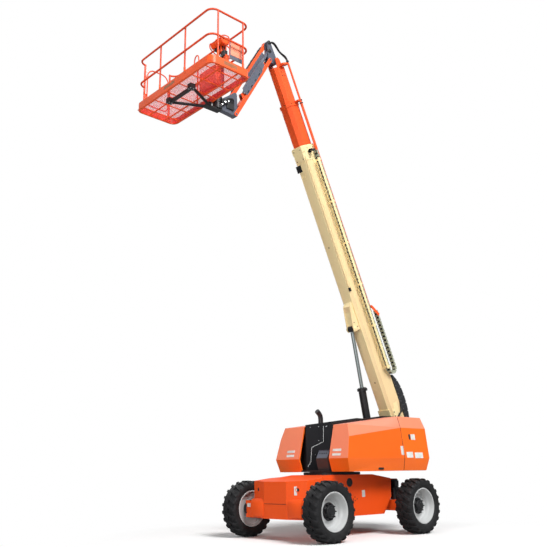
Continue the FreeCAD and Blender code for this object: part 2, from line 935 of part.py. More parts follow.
def collar(start, length, half_width, half_height, wall, bevel, stand):
    """A band that stands proud round the end of a section."""
    middle = f"{start} + ({length}) / 2"
    outer = tube_section(
        f"{half_width} + {stand}", f"{half_height} + {stand}", "top_bevel", bevel
    )
    inner = tube_section(
        f"{half_width} - {wall}", f"{half_height} - {wall}", "top_bevel", bevel
    )
    return cut(
        plate("YZ", outer, length, middle), plate("YZ", inner, f"{length} + 10", middle)
    )


def boom_base():
    tube = box_tube(
        "0 - base_tail", "base_tip", "base_half_width", "base_half_height", "base_wall", "base_bevel"
    )
    bands = [
        collar(start, length, "base_half_width", "base_half_height", "base_wall", "base_bevel", stand)
        for start, length, stand in (("base_tip - 330", "200", "6"), ("base_tip - 130", "110", "14"))
    ]
    boss = cross_pin(0, 0, "95", "base_half_width + 18")
    inner = slab("0 - 120", "0 - 120", "240", "240", "base_half_width - 25")
    bore = cross_pin(0, 0, "boom_pin_radius + pin_clearance", "base_half_width + 40")
    return cut(join(tube, *bands, cut(boss, inner)), bore)


def wear_pads(start, half_width, half_height, gap):
    """Pads on the outside of an inner section, in the gap to the one round it."""
    pads = []
    for side in (1, -1):
        y = half_width if side > 0 else f"0 - ({half_width}) - ({gap})"
        pads.append(block(start, y, "0 - 60", "120", gap, "120"))
        z = half_height if side > 0 else f"0 - ({half_height}) - top_pad"
        pads.append(block(start, "0 - 40", z, "120", "80", "top_pad"))
    return pads


def boom_mid():
    tube = box_tube(
        "mid_tip - mid_length", "mid_tip", "mid_half_width", "mid_half_height", "mid_wall", "mid_bevel"
    )
    band = collar("mid_tip - 60", "60", "mid_half_width", "mid_half_height", "mid_wall", "mid_bevel", "10")
    gap = "base_half_width - base_wall - mid_half_width + 0.5"
    pads = wear_pads("mid_tip - mid_length + 30", "mid_half_width - 1", "mid_half_height - 1", gap)
    return join(tube, band, *pads)


def boom_fly():
    tube = box_tube(
        "fly_tip - fly_length", "fly_tip", "fly_half_width", "fly_half_height", "fly_wall", "fly_bevel"
    )
    gap = "mid_half_width - mid_wall - fly_half_width + 0.5"
    pads = wear_pads("fly_tip - fly_length + 30", "fly_half_width - 1", "fly_half_height - 1", gap)
    cheeks = [
        plate(
            "XZ",
            [
                ("fly_tip - 250", "0 - 60"),
                ("fly_tip + 40", "0 - 90"),
                ("knuckle_along + 45", "0 - knuckle_drop - 50"),
                ("knuckle_along + 60", "0 - knuckle_drop + 20"),
                ("knuckle_along + 20", "0 - knuckle_drop + 60"),
                ("fly_tip - 250", "110"),
            ],
            "20",
            f"{side} * (fly_half_width - 10)",
        )
        for side in (1, -1)
    ]
    pin = cross_pin("knuckle_along", "0 - knuckle_drop", "arm_pin_radius + 6", "fly_half_width + 5")
    return join(tube, *pads, *cheeks, pin)


def lift_bracket():
    """A boxed gusset under the boom, with stub pins for the lift cylinder's eye."""
    top = "0 - base_half_height"
    outline = [
        ("eye_along - 62", top),
        ("eye_along - 62", "0 - eye_drop - 42"),
        ("eye_along + 40", "0 - eye_drop - 42"),
        ("eye_along + 470", f"{top} - 95"),
        ("eye_along + 560", top),
    ]
    cheeks = [
        plate("XZ", outline, "22", f"{side} * (bracket_half - 11)")
        for side in (1, -1)
    ]
    nose = plate(
        "XZ",
        [
            ("eye_along + 380", top),
            ("eye_along + 350", f"{top} - 112"),
            ("eye_along + 470", f"{top} - 95"),
            ("eye_along + 560", top),
        ],
        "2 * bracket_half",
    )
    stubs = [
        drum("eye_along", 68, "0 - eye_drop", "lift_pin_radius", "34", "y"),
        drum("eye_along", -102, "0 - eye_drop", "lift_pin_radius", "34", "y"),
    ]
    return join(*cheeks, nose, *stubs)


CHAIN_BARS = 6


def chain_tray():
    """A ledge on the boom's side with bars across it, which the chain lies on."""
    y = "base_half_width + seat_gap"
    low = "chain_z - 14"
    length = "base_tip - loop_along - 380"
    ledge = block("loop_along + 40", y, low, length, "chain_y - base_half_width + 10", "14 - seat_gap")
    web = block("loop_along + 40", y, "chain_z - 70", length, "8", "70 - seat_gap")
    parts = [ledge, web]
    for i in range(CHAIN_BARS):
        start = f"loop_along + 60 + {i} * ({length} - 80) / {CHAIN_BARS - 1}"
        width = "chain_y + chain_width + 14 - base_half_width"
        parts.append(block(start, y, low, "40", width, "14 - seat_gap"))
        parts.append(
            block(start, "chain_y + chain_width + 6", low, "40", "8 + seat_gap", "14 + chain_link / 2")
        )
    return join(*parts)


def energy_chain():
    """A chain of links: a fixed run, a loop, and the run that the push tube draws."""
    middle = "chain_z + loop_height / 2"
    fixed = block("loop_along", "chain_y", "chain_z", "chain_end - loop_along", "chain_width", "chain_link")
    drawn = block(
        "loop_along",
        "chain_y",
        "chain_z + loop_height - chain_link",
        "outer_run",
        "chain_width",
        "chain_link"
    )
    loop = drum("loop_along", "chain_y", middle, "loop_height / 2", "chain_width", "y")
    hollow_radius = "loop_height / 2 - chain_link"
    hollow = drum("loop_along", "chain_y - 5", middle, hollow_radius, "chain_width + 10", "y")
    keep = block(
        "loop_along - loop_height",
        "chain_y",
        "chain_z - 10",
        "loop_height",
        "chain_width",
        "loop_height + 20"
    )
    return join(fixed, drawn, common(cut(loop, hollow), keep))


def push_tube(start, end, radius):
    return drum(start, "push_tube_y", "push_tube_z", radius, f"{end} - ({start})", "x")


TUBE_START = "loop_along + outer_run + 90"


def tube_mid():
    """The larger push tube, with its lug on the boom and the plate beside the chain."""
    tube = push_tube(TUBE_START, "mid_tip - 10", "mid_tube_radius")
    lug = block(
        "mid_tip + seat_gap",
        "fly_half_width + 8",
        "push_tube_z - 100",
        "30",
        "push_tube_y + mid_tube_radius - fly_half_width - 8",
        "130",
    )
    hole = push_tube("0", "mid_tip + 100", "fly_tube_radius + pin_clearance")
    side = "chain_y + chain_width + 12"
    drawn = "chain_z + loop_height"
    arm = plate(
        "XZ",
        [
            (f"{TUBE_START} - 230", f"{drawn} - 52"),
            (f"{TUBE_START} - 190", f"{drawn} - 4"),
            (f"{TUBE_START} + 30", "push_tube_z + 25"),
            (f"{TUBE_START} + 60", "push_tube_z - 20"),
            (f"{TUBE_START} - 20", "push_tube_z - 20"),
        ],
        "10",
        f"{side} + 5",
    )
    bridge = block(
        f"{TUBE_START} - 10", "push_tube_y", "push_tube_z - 18", "60", f"{side} + 5 - push_tube_y", "36"
    )
    return join(cut(join(tube, lug), hole), arm, cut(bridge, hole))


def tube_fly():
    """The smaller push tube, which slides in the larger."""
    tube = push_tube("mid_tip - 3650", "fly_tip + 25", "fly_tube_radius")
    lug = block(
        "fly_tip + 5",
        "fly_half_width + seat_gap",
        "push_tube_z - 170",
        "40",
        "push_tube_y - fly_half_width - seat_gap",
        "185",
    )
    return join(tube, lug)


def hose_cover():
    """A bulging cover over the hoses on the boom's back, from the foot to the chain."""
    back = "base_half_height + seat_gap"
    outline = [
        ("cover_start", back),
        ("cover_end", back),
        ("cover_end - 20", f"{back} + 0.30 * cover_rise"),
        ("cover_end - 190", f"{back} + 0.72 * cover_rise"),
        ("cover_end - 420", f"{back} + 0.97 * cover_rise"),
        ("cover_end - 640", f"{back} + cover_rise"),
        ("cover_start + 120", f"{back} + 0.80 * cover_rise"),
        ("cover_start", f"{back} + 0.62 * cover_rise"),
    ]
    return plate("XZ", outline, "cover_width", "base_half_width - cover_width / 2 - 10")


# --- lift cylinder -----------------------------------------------------------------------

def lift_barrel():
    eye = cross_pin(0, 0, "75", "barrel_radius + 5")
    barrel = drum(60, 0, 0, "barrel_radius", "barrel_length - 60", "x")
    inside = drum(95, 0, 0, "rod_radius + pin_clearance", "barrel_length", "x")
    bore = cross_pin(0, 0, "lift_pin_radius + pin_clearance", "200")
    gland = drum("barrel_length - gland_length", 0, 0, "barrel_radius + 10", "gland_length", "x")
    return cut(join(eye, barrel, gland), inside, bore)


def lift_rod():
    start = "barrel_length - 290"
    shaft = drum(start, 0, 0, "rod_radius", f"lift_length - 40 - ({start})", "x")
    eye = cross_pin("lift_length", 0, "54", "66")
    bore = cross_pin("lift_length", 0, "lift_pin_radius + pin_clearance", "200")
    return cut(join(shaft, eye), bore)


# --- jib ---------------------------------------------------------------------------------

def jib_knuckle():
    """The casting at the boom's nose: it carries both arms and the jib cylinder."""
    web = plate(
        "XZ",
        [
            ("0 - 62", "0 - 30"),
            ("0 - 10", "0 - 62"),
            ("arm_pin_run + 10", "0 - arm_pin_drop - 52"),
            ("arm_pin_run + 45", "0 - arm_pin_drop - 20"),
            ("arm_pin_run + link_run + 42", "link_rise - arm_pin_drop + 10"),
            ("arm_pin_run + link_run + 20", "link_rise - arm_pin_drop + 45"),
            ("arm_pin_run + link_run - 25", "link_rise - arm_pin_drop + 45"),
            ("arm_pin_run + link_run - 50", "link_rise - arm_pin_drop"),
            ("0 - 50", "45"),
        ],
        "2 * web_half",
    )
    eye_x = "arm_pin_run + jib_eye_rise * cos(link_lean)"
    eye_z = "jib_eye_rise * sin(link_lean) - arm_pin_drop"
    lane = plate(
        "XZ",
        [
            (f"{eye_x} - 46", f"{eye_z} + 60"),
            (f"{eye_x} - 46", f"{eye_z} - 50"),
            ("arm_pin_run - 50", "0 - arm_pin_drop + 40"),
            ("arm_pin_run + 15", "0 - arm_pin_drop - 80"),
            ("arm_pin_run + 120", "0 - arm_pin_drop - 80"),
            ("arm_pin_run + 120", f"{eye_z} + 300"),
            (f"{eye_x} - 5", f"{eye_z} + 110"),
        ],
        "2 * lane_half",
    )
    hub = cross_pin(0, 0, "60", "fly_half_width - 31")
    bore = cross_pin(0, 0, "arm_pin_radius + 6 + pin_clearance", "200")
    pins = [
        cross_pin("arm_pin_run", "0 - arm_pin_drop", "arm_pin_radius", "web_half + ear_wall + 10"),
        drum("arm_pin_run + link_run", -135, "link_rise - arm_pin_drop", "arm_pin_radius", "140", "y"),
        cross_pin(eye_x, eye_z, "arm_pin_radius", "web_half + 5"),
    ]
    return join(cut(join(web, hub), bore, lane), *pins)


def lower_arm():
    tube = slab(290, "0 - arm_half_height", "arm_length - 540", "2 * arm_half_height", "arm_half_width")
    ears = []
    for y in ("web_half + 2", "0 - web_half - 2 - ear_wall"):
        ears.append(drum(0, y, 0, "arm_half_height", "ear_wall", "y"))
        ears.append(drum("arm_length", y, 0, "arm_half_height", "ear_wall", "y"))
        ear_height = "2 * arm_half_height - 4"
        ears.append(block(0, y, "0 - arm_half_height + 2", "arm_length", "ear_wall", ear_height))
    lugs = [
        plate(
            "XZ",
            [
                ("jib_eye_along - 90", "arm_half_height - 10"),
                ("jib_eye_along + 90", "arm_half_height - 10"),
                ("jib_eye_along + 34", "jib_eye_height + 14"),
                ("jib_eye_along", "jib_eye_height + 36"),
                ("jib_eye_along - 34", "jib_eye_height + 14"),
            ],
            "14",
            f"{side} * 36",
        )
        for side in (1, -1)
    ]
    bores = [cross_pin(x, 0, "arm_pin_radius + pin_clearance", "100") for x in (0, "arm_length")]
    return join(cut(join(tube, *ears), *bores), *lugs)


def jib_guard():
    """A folded plate on the lower arm's left side, beside the jib cylinder."""
    inner = "web_half + 2 + ear_wall + seat_gap"
    side = plate(
        "XZ",
        [
            ("430", "12"),
            ("1235", "12"),
            ("1265", "45"),
            ("1265", "140"),
            ("1215", "175"),
            ("470", "175"),
            ("430", "140"),
        ],
        "6",
        f"{inner} + 3",
    )
    fold = block(475, f"{inner} - 22", "169", "735", "24", "6")
    return join(side, fold)


def upper_arm():
    bar = block(0, -130, "0 - 40", "arm_length", "65", "80")
    eyes = [drum(x, -130, 0, "50", "65", "y") for x in (0, "arm_length")]
    bores = [
        drum(0, -140, 0, "arm_pin_radius + pin_clearance", "100", "y"),
        drum("arm_length", -140, 0, "arm_pin_radius + 2", "100", "y"),
    ]
    return cut(join(bar, *eyes), *bores)


def jib_barrel():
    eye = cross_pin(0, 0, "38", "lane_half - 3")
    neck = slab("20", "0 - jib_barrel_radius + 8", "250", "2 * jib_barrel_radius - 16", "lane_half - 3")
    body = drum(255, 0, 0, "jib_barrel_radius", "680", "x")
    inside = drum(190, 0, 0, "jib_rod_radius + pin_clearance", "900", "x")
    bore = cross_pin(0, 0, "arm_pin_radius + pin_clearance", "90")
    return cut(join(eye, neck, body), inside, bore)


def jib_rod():
    shaft = drum("jib_length - 880", 0, 0, "jib_rod_radius", "870", "x")
    eye = cross_pin("jib_length", 0, "32", "26")
    return join(shaft, eye)


def jib_end():
    """The link at the jib's end, with the rotator's mounting."""
    web = plate(
        "XZ",
        [
            ("0 - 45", "0 - 25"),
            ("0 - 20", "0 - 48"),
            ("rotator_out - rotator_radius + 10", "0 - 20"),
            ("rotator_out - rotator_radius + 10", "220"),
            ("link_run + 50", "link_rise + 15"),
            ("link_run + 20", "link_rise + 46"),
            ("link_run - 25", "link_rise + 46"),
            ("link_run - 46", "link_rise + 15"),
            ("0 - 45", "25"),
        ],
        "2 * web_half",
    )
    housing = cut(
        drum("rotator_out", 0, "platform_rise - 62", "rotator_radius", "rotator_height"),
        drum("rotator_out", 0, "platform_rise - 82", "shaft_radius + pin_clearance", "rotator_height + 40"),
    )
    pins = [
        cross_pin(0, 0, "arm_pin_radius", "web_half + ear_wall + 10"),
        drum("link_run", -135, "link_rise", "arm_pin_radius", "135", "y"),
    ]
    return join(web, *pins), housing


def jib_end_nodes():
    web, housing = jib_end()
    clear = drum("rotator_out", 0, "0 - 400", "rotator_radius + seat_gap", "1000")
    node("jib_end_link", cut(web, clear), "jib_end")
    node("rotator", housing, "jib_end")


# --- platform ----------------------------------------------------------------------------

def platform_support():
    hub_x = "0 - platform_gap"
    shaft = drum(hub_x, 0, "0 - 95", "shaft_radius", "rotator_height + 50")
    low = slab(f"{hub_x} - 60", "0 - 95", "platform_gap + 200", "25", "70")
    arms = []
    for side in (1, -1):
        arms.append(
            bent_tube(
                [
                    ("60", f"{side} * 40", "0 - 60"),
                    ("platform_depth - 250", f"{side} * 345", "0 - 60"),
                    ("platform_depth - 170", f"{side} * 345", "0 - 60"),
                ],
                "28",
                "60",
            )
        )
        arm_y = f"{side} * 345 - 50"
        arms.append(block("platform_depth - 270", arm_y, "0 - 95", "110", "100", "95 - seat_gap"))
    cross = block("platform_depth - 260", "0 - 345", "0 - 88", "56", "690", "56")
    stand = slab("20", "0 - 95", "60", "95 - seat_gap", "70")
    return join(shaft, low, *arms, cross, stand)


def platform_floor():
    plan = [
        (60, "0 - platform_half"),
        ("platform_depth - 60", "0 - platform_half"),
        ("platform_depth", "0 - platform_half + 60"),
        ("platform_depth", "platform_half - 60"),
        ("platform_depth - 60", "platform_half"),
        (60, "platform_half"),
        (0, "platform_half - 60"),
        (0, "0 - platform_half + 60"),
    ]
    rim = plate("XY", plan, "skirt_height", "skirt_height / 2")
    depth = "platform_depth - 24"
    width = "platform_width - 24"
    well = block(12, "0 - platform_half + 12", "floor_wall", depth, width, "skirt_height")
    return cut(rim, well)


def post(x, y, height):
    return drum(x, y, "skirt_height + seat_gap", "rail_radius - 3", f"{height} - skirt_height")


def long_rail(front):
    """The rails along one long side, with their posts."""
    x = "platform_depth - rail_radius" if front else "rail_radius"
    reach = "platform_half - rail_bend - rail_radius"
    parts = []
    for height in ("top_rail", "mid_rail"):
        parts.append(drum(x, f"0 - ({reach})", height, "rail_radius", f"2 * ({reach})", "y"))
    for share in (-1, 1):
        parts.append(post(x, f"{share} * post_y", "top_rail"))
    return join(*parts)


def end_rail(side, gap):
    """The rails round one end; the gate's end stops short of the opening."""
    reach = "platform_half - rail_bend - rail_radius + 0.3"
    y_end = "platform_half - rail_radius"
    x_far = "platform_depth - rail_radius"
    parts = []
    for height in ("top_rail", "mid_rail"):
        points = [
            ("rail_radius", f"{side} * ({reach})", height),
            ("rail_radius", f"{side} * ({y_end})", height),
            (x_far, f"{side} * ({y_end})", height),
            (x_far, f"{side} * ({reach})", height),
        ]
        parts.append(bent_tube(points, "rail_radius", "rail_bend - 2"))
    parts.append(post("rail_bend + 20", f"{side} * ({y_end})", "top_rail"))
    parts.append(post("platform_depth - rail_bend - 20", f"{side} * ({y_end})", "top_rail"))
    whole = join(*parts)
    if not gap:
        return whole
    opening_y = f"{side} * ({y_end}) - 60"
    opening = block("gate_low", opening_y, "skirt_height - 20", "gate_width", "120", "top_rail")
    return join(cut(whole, opening), gate_hinges())


def gate():
    """A rounded loop of tube that swings on two hinge pins."""
    low, high = "gate_low + side_gap + rail_radius", "gate_pin_x - 32"
    loop = bent_tube(
        [
            (low, "gate_y", "skirt_height + 80"),
            (high, "gate_y", "skirt_height + 80"),
            (high, "gate_y", "top_rail - 60"),
            (low, "gate_y", "top_rail - 60"),
        ],
        "rail_radius - 3",
        "70",
        True,
    )
    barrels = []
    for height in GATE_HINGES:
        barrels.append(drum("gate_pin_x", "gate_y", f"{height} + 20.5", "14", "40"))
        barrels.append(block("gate_pin_x - 30", "gate_y - 6", f"{height} + 20.5", "25", "12", "40"))
    bores = [
        drum("gate_pin_x", "gate_y", height, "hinge_pin_radius + pin_clearance", "90")
        for height in GATE_HINGES
    ]
    return cut(join(loop, *barrels), *bores)


def gate_hinges():
    """The fixed half of the gate's hinges, on the post beside the opening."""
    parts = []
    for height in GATE_HINGES:
        parts.append(drum("gate_pin_x", "gate_y", height, "hinge_pin_radius", "60"))
        parts.append(drum("gate_pin_x", "gate_y", height, "14", "20"))
        parts.append(block("gate_pin_x", "gate_y - 6", height, "24", "12", "20"))
    parts.append(post("gate_high + rail_radius", "gate_y", "top_rail"))
    parts.append(post("gate_low - rail_radius", "gate_y", "top_rail"))
    return join(*parts)


GATE_HINGES = ("skirt_height + 200", "mid_rail + 220")


def control_console():
    """The control box on the back rail, on its post."""
    x = "2 * rail_radius + seat_gap"
    body = block(x, "console_y", "top_rail - 160", "240", "console_width", "190")
    post_y = "console_y + console_width / 2 - 60"
    stand = block(x, post_y, "mid_rail - 20", "60", "120", "top_rail - mid_rail - 139")
    return join(body, stand)


# --- the whole machine -------------------------------------------------------------------

node("chassis_frame", chassis_frame())
node("drive_axle", drive_axle())
node("steer_axle", steer_axle())
node("slew_ring", slew_ring())
both_sides("steer_knuckle", steer_knuckle)
for end, end_name in ((1, "drive"), (-1, "steer")):
    for side, side_name in ((1, "left"), (-1, "right")):
        node(f"tyre_{end_name}_{side_name}", on_wheel(tyre, end, side))
        node(f"wheel_{end_name}_{side_name}", on_wheel(wheel, end, side))

node("turntable_frame", turntable_frame())
node("counterweight", counterweight())
node("engine_block", block("0 - 900", "0 - 860", "plate_top + seat_gap", "1250", "540", "600"))
node("inner_wall_left", inner_wall("left_wall_y"))
node("inner_wall_right", mirrored(inner_wall("right_wall_y")))
node("hood_left", hood("left_wall_y"))
node("hood_right", cut(mirrored(hood("right_wall_y")), exhaust_hole()))
node("valve_box", valve_box())
node("exhaust_pipe", exhaust_pipe())
node("rear_cover_left", rear_cover("left_wall_y"))
node("rear_cover_right", mirrored(rear_cover("right_wall_y")))

node("boom_base", boom_base(), "boom")
node("lift_bracket", lift_bracket(), "boom")
node("chain_tray", chain_tray(), "boom")
node("energy_chain", energy_chain(), "boom")
node("hose_cover", hose_cover(), "boom")
node("boom_mid", boom_mid(), "boom")
node("mid_tube", tube_mid(), "boom")
node("boom_fly", boom_fly(), "boom")
node("fly_tube", tube_fly(), "boom")
node("lift_barrel", lift_barrel(), "lift")
node("lift_rod", lift_rod(), "lift")

node("jib_knuckle", jib_knuckle(), "knuckle")
node("jib_lower_arm", lower_arm(), "arm")
node("jib_guard", jib_guard(), "arm")
node("jib_upper_arm", upper_arm(), "upper_arm")
node("jib_barrel", jib_barrel(), "jib_cylinder")
node("jib_rod", jib_rod(), "jib_cylinder")
jib_end_nodes()

node("platform_support", platform_support(), "platform")
node("platform_floor", platform_floor(), "platform")
node("rail_front", long_rail(True), "platform")
node("rail_back", long_rail(False), "platform")
node("rail_left", end_rail(1, False), "platform")
node("rail_right", end_rail(-1, True), "platform")
node("entry_gate", gate(), "platform")
node("control_console", control_console(), "platform")

doc.recompute()
for item in doc.Objects:
    if "Invalid" in item.State or "Error" in item.State:
        raise RuntimeError(f"{item.Label} did not compute: {item.State}")
os.makedirs("parts", exist_ok=True)
for name, item in nodes.items():
    if item.Shape.isNull() or not item.Shape.isValid():
        raise RuntimeError(f"{name} has no valid shape")
    item.Shape.exportStep(f"parts/{name}.step")
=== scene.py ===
import json
import math

import bmesh
import bpy
from mathutils import Matrix, Vector
from mathutils.bvhtree import BVHTree


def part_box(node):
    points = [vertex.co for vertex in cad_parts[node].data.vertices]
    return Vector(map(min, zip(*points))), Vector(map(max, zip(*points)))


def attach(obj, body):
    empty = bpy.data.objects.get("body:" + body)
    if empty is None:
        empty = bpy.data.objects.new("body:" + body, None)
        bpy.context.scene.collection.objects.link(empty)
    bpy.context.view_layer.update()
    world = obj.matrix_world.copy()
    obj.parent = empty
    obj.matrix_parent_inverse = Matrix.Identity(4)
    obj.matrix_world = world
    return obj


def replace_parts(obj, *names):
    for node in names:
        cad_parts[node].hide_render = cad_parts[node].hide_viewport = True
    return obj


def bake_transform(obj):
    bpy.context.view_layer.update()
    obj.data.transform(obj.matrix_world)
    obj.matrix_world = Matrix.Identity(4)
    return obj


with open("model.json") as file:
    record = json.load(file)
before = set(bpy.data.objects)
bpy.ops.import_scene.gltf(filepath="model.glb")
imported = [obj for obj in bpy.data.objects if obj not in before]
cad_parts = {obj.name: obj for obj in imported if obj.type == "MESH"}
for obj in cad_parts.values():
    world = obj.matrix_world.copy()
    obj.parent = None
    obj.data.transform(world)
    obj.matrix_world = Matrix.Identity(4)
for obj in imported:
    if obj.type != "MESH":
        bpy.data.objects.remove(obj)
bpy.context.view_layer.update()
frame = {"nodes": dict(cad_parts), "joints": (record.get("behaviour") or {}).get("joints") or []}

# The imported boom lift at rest, in metres: +X toward the working platform, +Y its left side,
# +Z up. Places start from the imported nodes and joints. Some offsets from them, such as the
# wall seams' bends and the side holes' x, were read off the photograph through a fitted camera.

JOINTS = {joint["name"]: joint for joint in frame["joints"]}
Z = Vector((0, 0, 1))
Y = Vector((0, 1, 0))
X = Vector((1, 0, 0))


# --- frames to build in --------------------------------------------------------------------

def joint_point(name):
    return Vector(JOINTS[name]["pos_m"])


def basis(origin, along, side=Y):
    """A matrix whose X runs along a direction, with Y as near to side as it can be."""
    x = Vector(along).normalized()
    z = x.cross(side).normalized()
    y = z.cross(x)
    matrix = Matrix((x, y, z)).transposed().to_4x4()
    matrix.translation = origin
    return matrix


BOOM = basis(joint_point("luff"), JOINTS["telescope_mid"]["axis"])
LIFT = basis(joint_point("lift_barrel_swing"), JOINTS["lift_rod_slide"]["axis"])
ARM = basis(joint_point("jib"), joint_point("jib_end_level") - joint_point("jib"))
UPPER = basis(joint_point("jib_upper_swing"), joint_point("jib_end_level") - joint_point("jib"))
FLAT = basis(Vector(), X)


def local_box(node, matrix):
    """A node's lowest and highest corner in another frame."""
    inverse = matrix.inverted()
    points = [inverse @ v.co for v in frame["nodes"][node].data.vertices]
    low = Vector([min(p[i] for p in points) for i in range(3)])
    high = Vector([max(p[i] for p in points) for i in range(3)])
    return low, high


# --- materials -----------------------------------------------------------------------------

class Shader:
    """A node material that is built up link by link."""

    def __init__(self, name):
        self.material = bpy.data.materials.new(name)
        self.material.use_nodes = True
        self.tree = self.material.node_tree
        self.surface = self.tree.nodes["Principled BSDF"]

    def node(self, kind, **inputs):
        made = self.tree.nodes.new("ShaderNode" + kind)
        for key, value in inputs.items():
            made.inputs[key.replace("_", " ")].default_value = value
        return made

    def link(self, source, out, target, into):
        self.tree.links.new(source.outputs[out], target.inputs[into])

    def set(self, **values):
        for key, value in values.items():
            self.surface.inputs[key.replace("_", " ")].default_value = value

    def noise(self, scale, detail=4, stretch=(1, 1, 1)):
        place = self.node("TexCoord")
        size = self.node("Mapping")
        size.inputs["Scale"].default_value = stretch
        noise = self.node("TexNoise", Scale=scale, Detail=detail)
        self.link(place, "Object", size, "Vector")
        self.link(size, "Vector", noise, "Vector")
        return noise

    def ramp(self, source, out, stops):
        ramp = self.node("ValToRGB")
        band = ramp.color_ramp
        while len(band.elements) < len(stops):
            band.elements.new(0.5)
        for element, (place, colour) in zip(band.elements, stops):
            element.position = place
            element.color = colour
        self.link(source, out, ramp, "Fac")
        return ramp

    def bump(self, source, out, strength, distance):
        bump = self.node("Bump", Strength=strength, Distance=distance)
        self.link(source, out, bump, "Height")
        self.link(bump, "Normal", self.surface, "Normal")
        return bump


def grey(value):
    return (value, value, value, 1)


def shade(colour, factor):
    return tuple(min(1, c * factor) for c in colour) + (1,)


def paint(name, colour, roughness=0.44, coat=0.25, wear=0.035, painted_sheen=None):
    """Sprayed paint: a faint tone drift, orange peel, and lighter wear on edges. With a sheen
    colour, a painted sheen: faces that point up are mixed toward a paler tone that stands in for
    the sky's reflection on them, matched to the photograph."""
    s = Shader(name)
    drift = s.noise(1.7)
    tone = s.ramp(drift, "Fac", [(0.3, shade(colour, 1 - wear)), (0.7, shade(colour, 1 + wear))])
    edge = s.node("NewGeometry")
    rub = s.ramp(edge, "Pointiness", [(0.515, grey(0)), (0.56, grey(1))])
    mix = s.node("MixRGB", Color2=shade(colour, 1.35))
    scratch = s.noise(60)
    worn = s.node("Math")
    worn.operation = "MULTIPLY"
    s.link(rub, "Color", worn, 0)
    s.link(scratch, "Fac", worn, 1)
    s.link(worn, "Value", mix, "Fac")
    s.link(tone, "Color", mix, "Color1")
    # Painted sheen: upward faces are mixed toward a paler tone, standing in for the sky's
    # reflection on them.
    if painted_sheen:
        lean = s.node("SeparateXYZ")
        s.link(s.node("TexCoord"), "Normal", lean, "Vector")
        share = s.ramp(lean, "Z", [(0.15, grey(0)), (0.24, grey(0.38)), (0.62, grey(0.56))])
        sheen_mix = s.node("MixRGB", Color2=(*painted_sheen, 1))
        s.link(share, "Color", sheen_mix, "Fac")
        s.link(mix, "Color", sheen_mix, "Color1")
        mix = sheen_mix
    s.link(mix, "Color", s.surface, "Base Color")
    peel = s.noise(260, 2)
    s.bump(peel, "Fac", 0.04, 0.001)
    gloss = s.ramp(
        s.noise(5), "Fac", [(0.3, grey(roughness - 0.05)), (0.7, grey(roughness + 0.08))]
    )
    s.link(gloss, "Color", s.surface, "Roughness")
    s.set(Coat_Weight=coat, Coat_Roughness=0.36, Specular_IOR_Level=0.25)
    return s.material


def rubber(name, colour=(0.022, 0.022, 0.024), roughness=0.62):
    s = Shader(name)
    dust = s.ramp(s.noise(9, 6), "Fac", [(0.35, shade(colour, 0.8)), (0.75, shade(colour, 1.6))])
    s.link(dust, "Color", s.surface, "Base Color")
    s.bump(s.noise(180, 3), "Fac", 0.18, 0.001)
    s.set(Roughness=roughness, Specular_IOR_Level=0.3)
    return s.material


def plastic(name, colour, roughness=0.45, grain=420):
    s = Shader(name)
    tone = s.ramp(s.noise(6), "Fac", [(0.3, shade(colour, 0.85)), (0.7, shade(colour, 1.15))])
    s.link(tone, "Color", s.surface, "Base Color")
    s.bump(s.noise(grain, 2), "Fac", 0.12, 0.0006)
    s.set(Roughness=roughness)
    return s.material


def metal(name, colour, roughness=0.22, stretch=(1, 1, 60)):
    """Machined or plated metal with fine turning marks."""
    s = Shader(name)
    marks = s.noise(30, 3, stretch)
    tone = s.ramp(marks, "Fac", [(0.3, shade(colour, 0.82)), (0.7, shade(colour, 1.1))])
    s.link(tone, "Color", s.surface, "Base Color")
    rough = s.ramp(marks, "Fac", [(0.3, grey(roughness)), (0.7, grey(roughness + 0.15))])
    s.link(rough, "Color", s.surface, "Roughness")
    s.bump(marks, "Fac", 0.05, 0.0005)
    s.set(Metallic=1.0)
    return s.material


ORANGE = (0.90, 0.136, 0.010)
CHASSIS_ORANGE = (0.90, 0.086, 0.009)
CREAM = (0.86, 0.655, 0.36)

M = {
    # The hood paint carries a painted sheen on its upward faces.
    "orange": paint("orange_paint", ORANGE, painted_sheen=(0.90, 0.42, 0.33)),
    "red_orange": paint("chassis_paint", CHASSIS_ORANGE, 0.46, 0.15),
    "boom_orange": paint("boom_orange_paint", (0.84, 0.092, 0.018), 0.4, 0.2),
    "cream": paint("cream_paint", CREAM, 0.38, 0.25),
    "black": paint("black_paint", (0.016, 0.016, 0.018), 0.4, 0.2, 0.15),
    "grey": paint("slate_paint", (0.085, 0.095, 0.125), 0.4, 0.2),
    "rim": paint("rim_paint", (0.50, 0.51, 0.51), 0.34, 0.3),
    "iron": paint("hub_paint", (0.014, 0.0145, 0.016), 0.45, 0.15, 0.2),
    "tyre": rubber("tyre_rubber", (0.010, 0.010, 0.011), 0.7),
    "hose": rubber("hose_rubber", (0.014, 0.014, 0.016), 0.5),
    "chain": plastic("chain_plastic", (0.34, 0.36, 0.27), 0.5),
    "plastic": plastic("moulded_plastic", (0.022, 0.023, 0.026)),
    "steel": metal("turned_steel", (0.62, 0.63, 0.65)),
    "chrome": metal("plated_rod", (0.30, 0.34, 0.34), 0.38, (60, 1, 1)),
    "seal": rubber("seal_rubber", (0.012, 0.012, 0.013), 0.7),
    "mesh": paint("mesh_paint", (0.74, 0.06, 0.07), 0.5, 0.1),
    "rail": paint("rail_paint", (0.74, 0.072, 0.016), 0.4, 0.2),
    "valve": paint("brown_cover_paint", (0.05, 0.036, 0.034), 0.5, 0.1),
    "tan": plastic("plate_tan", (0.36, 0.115, 0.04), 0.4, 90),
    "salmon": paint("salmon_paint", (0.85, 0.26, 0.16), 0.5, 0.1),
    "label": plastic("blank_label", (0.75, 0.75, 0.72), 0.35, 90),
}

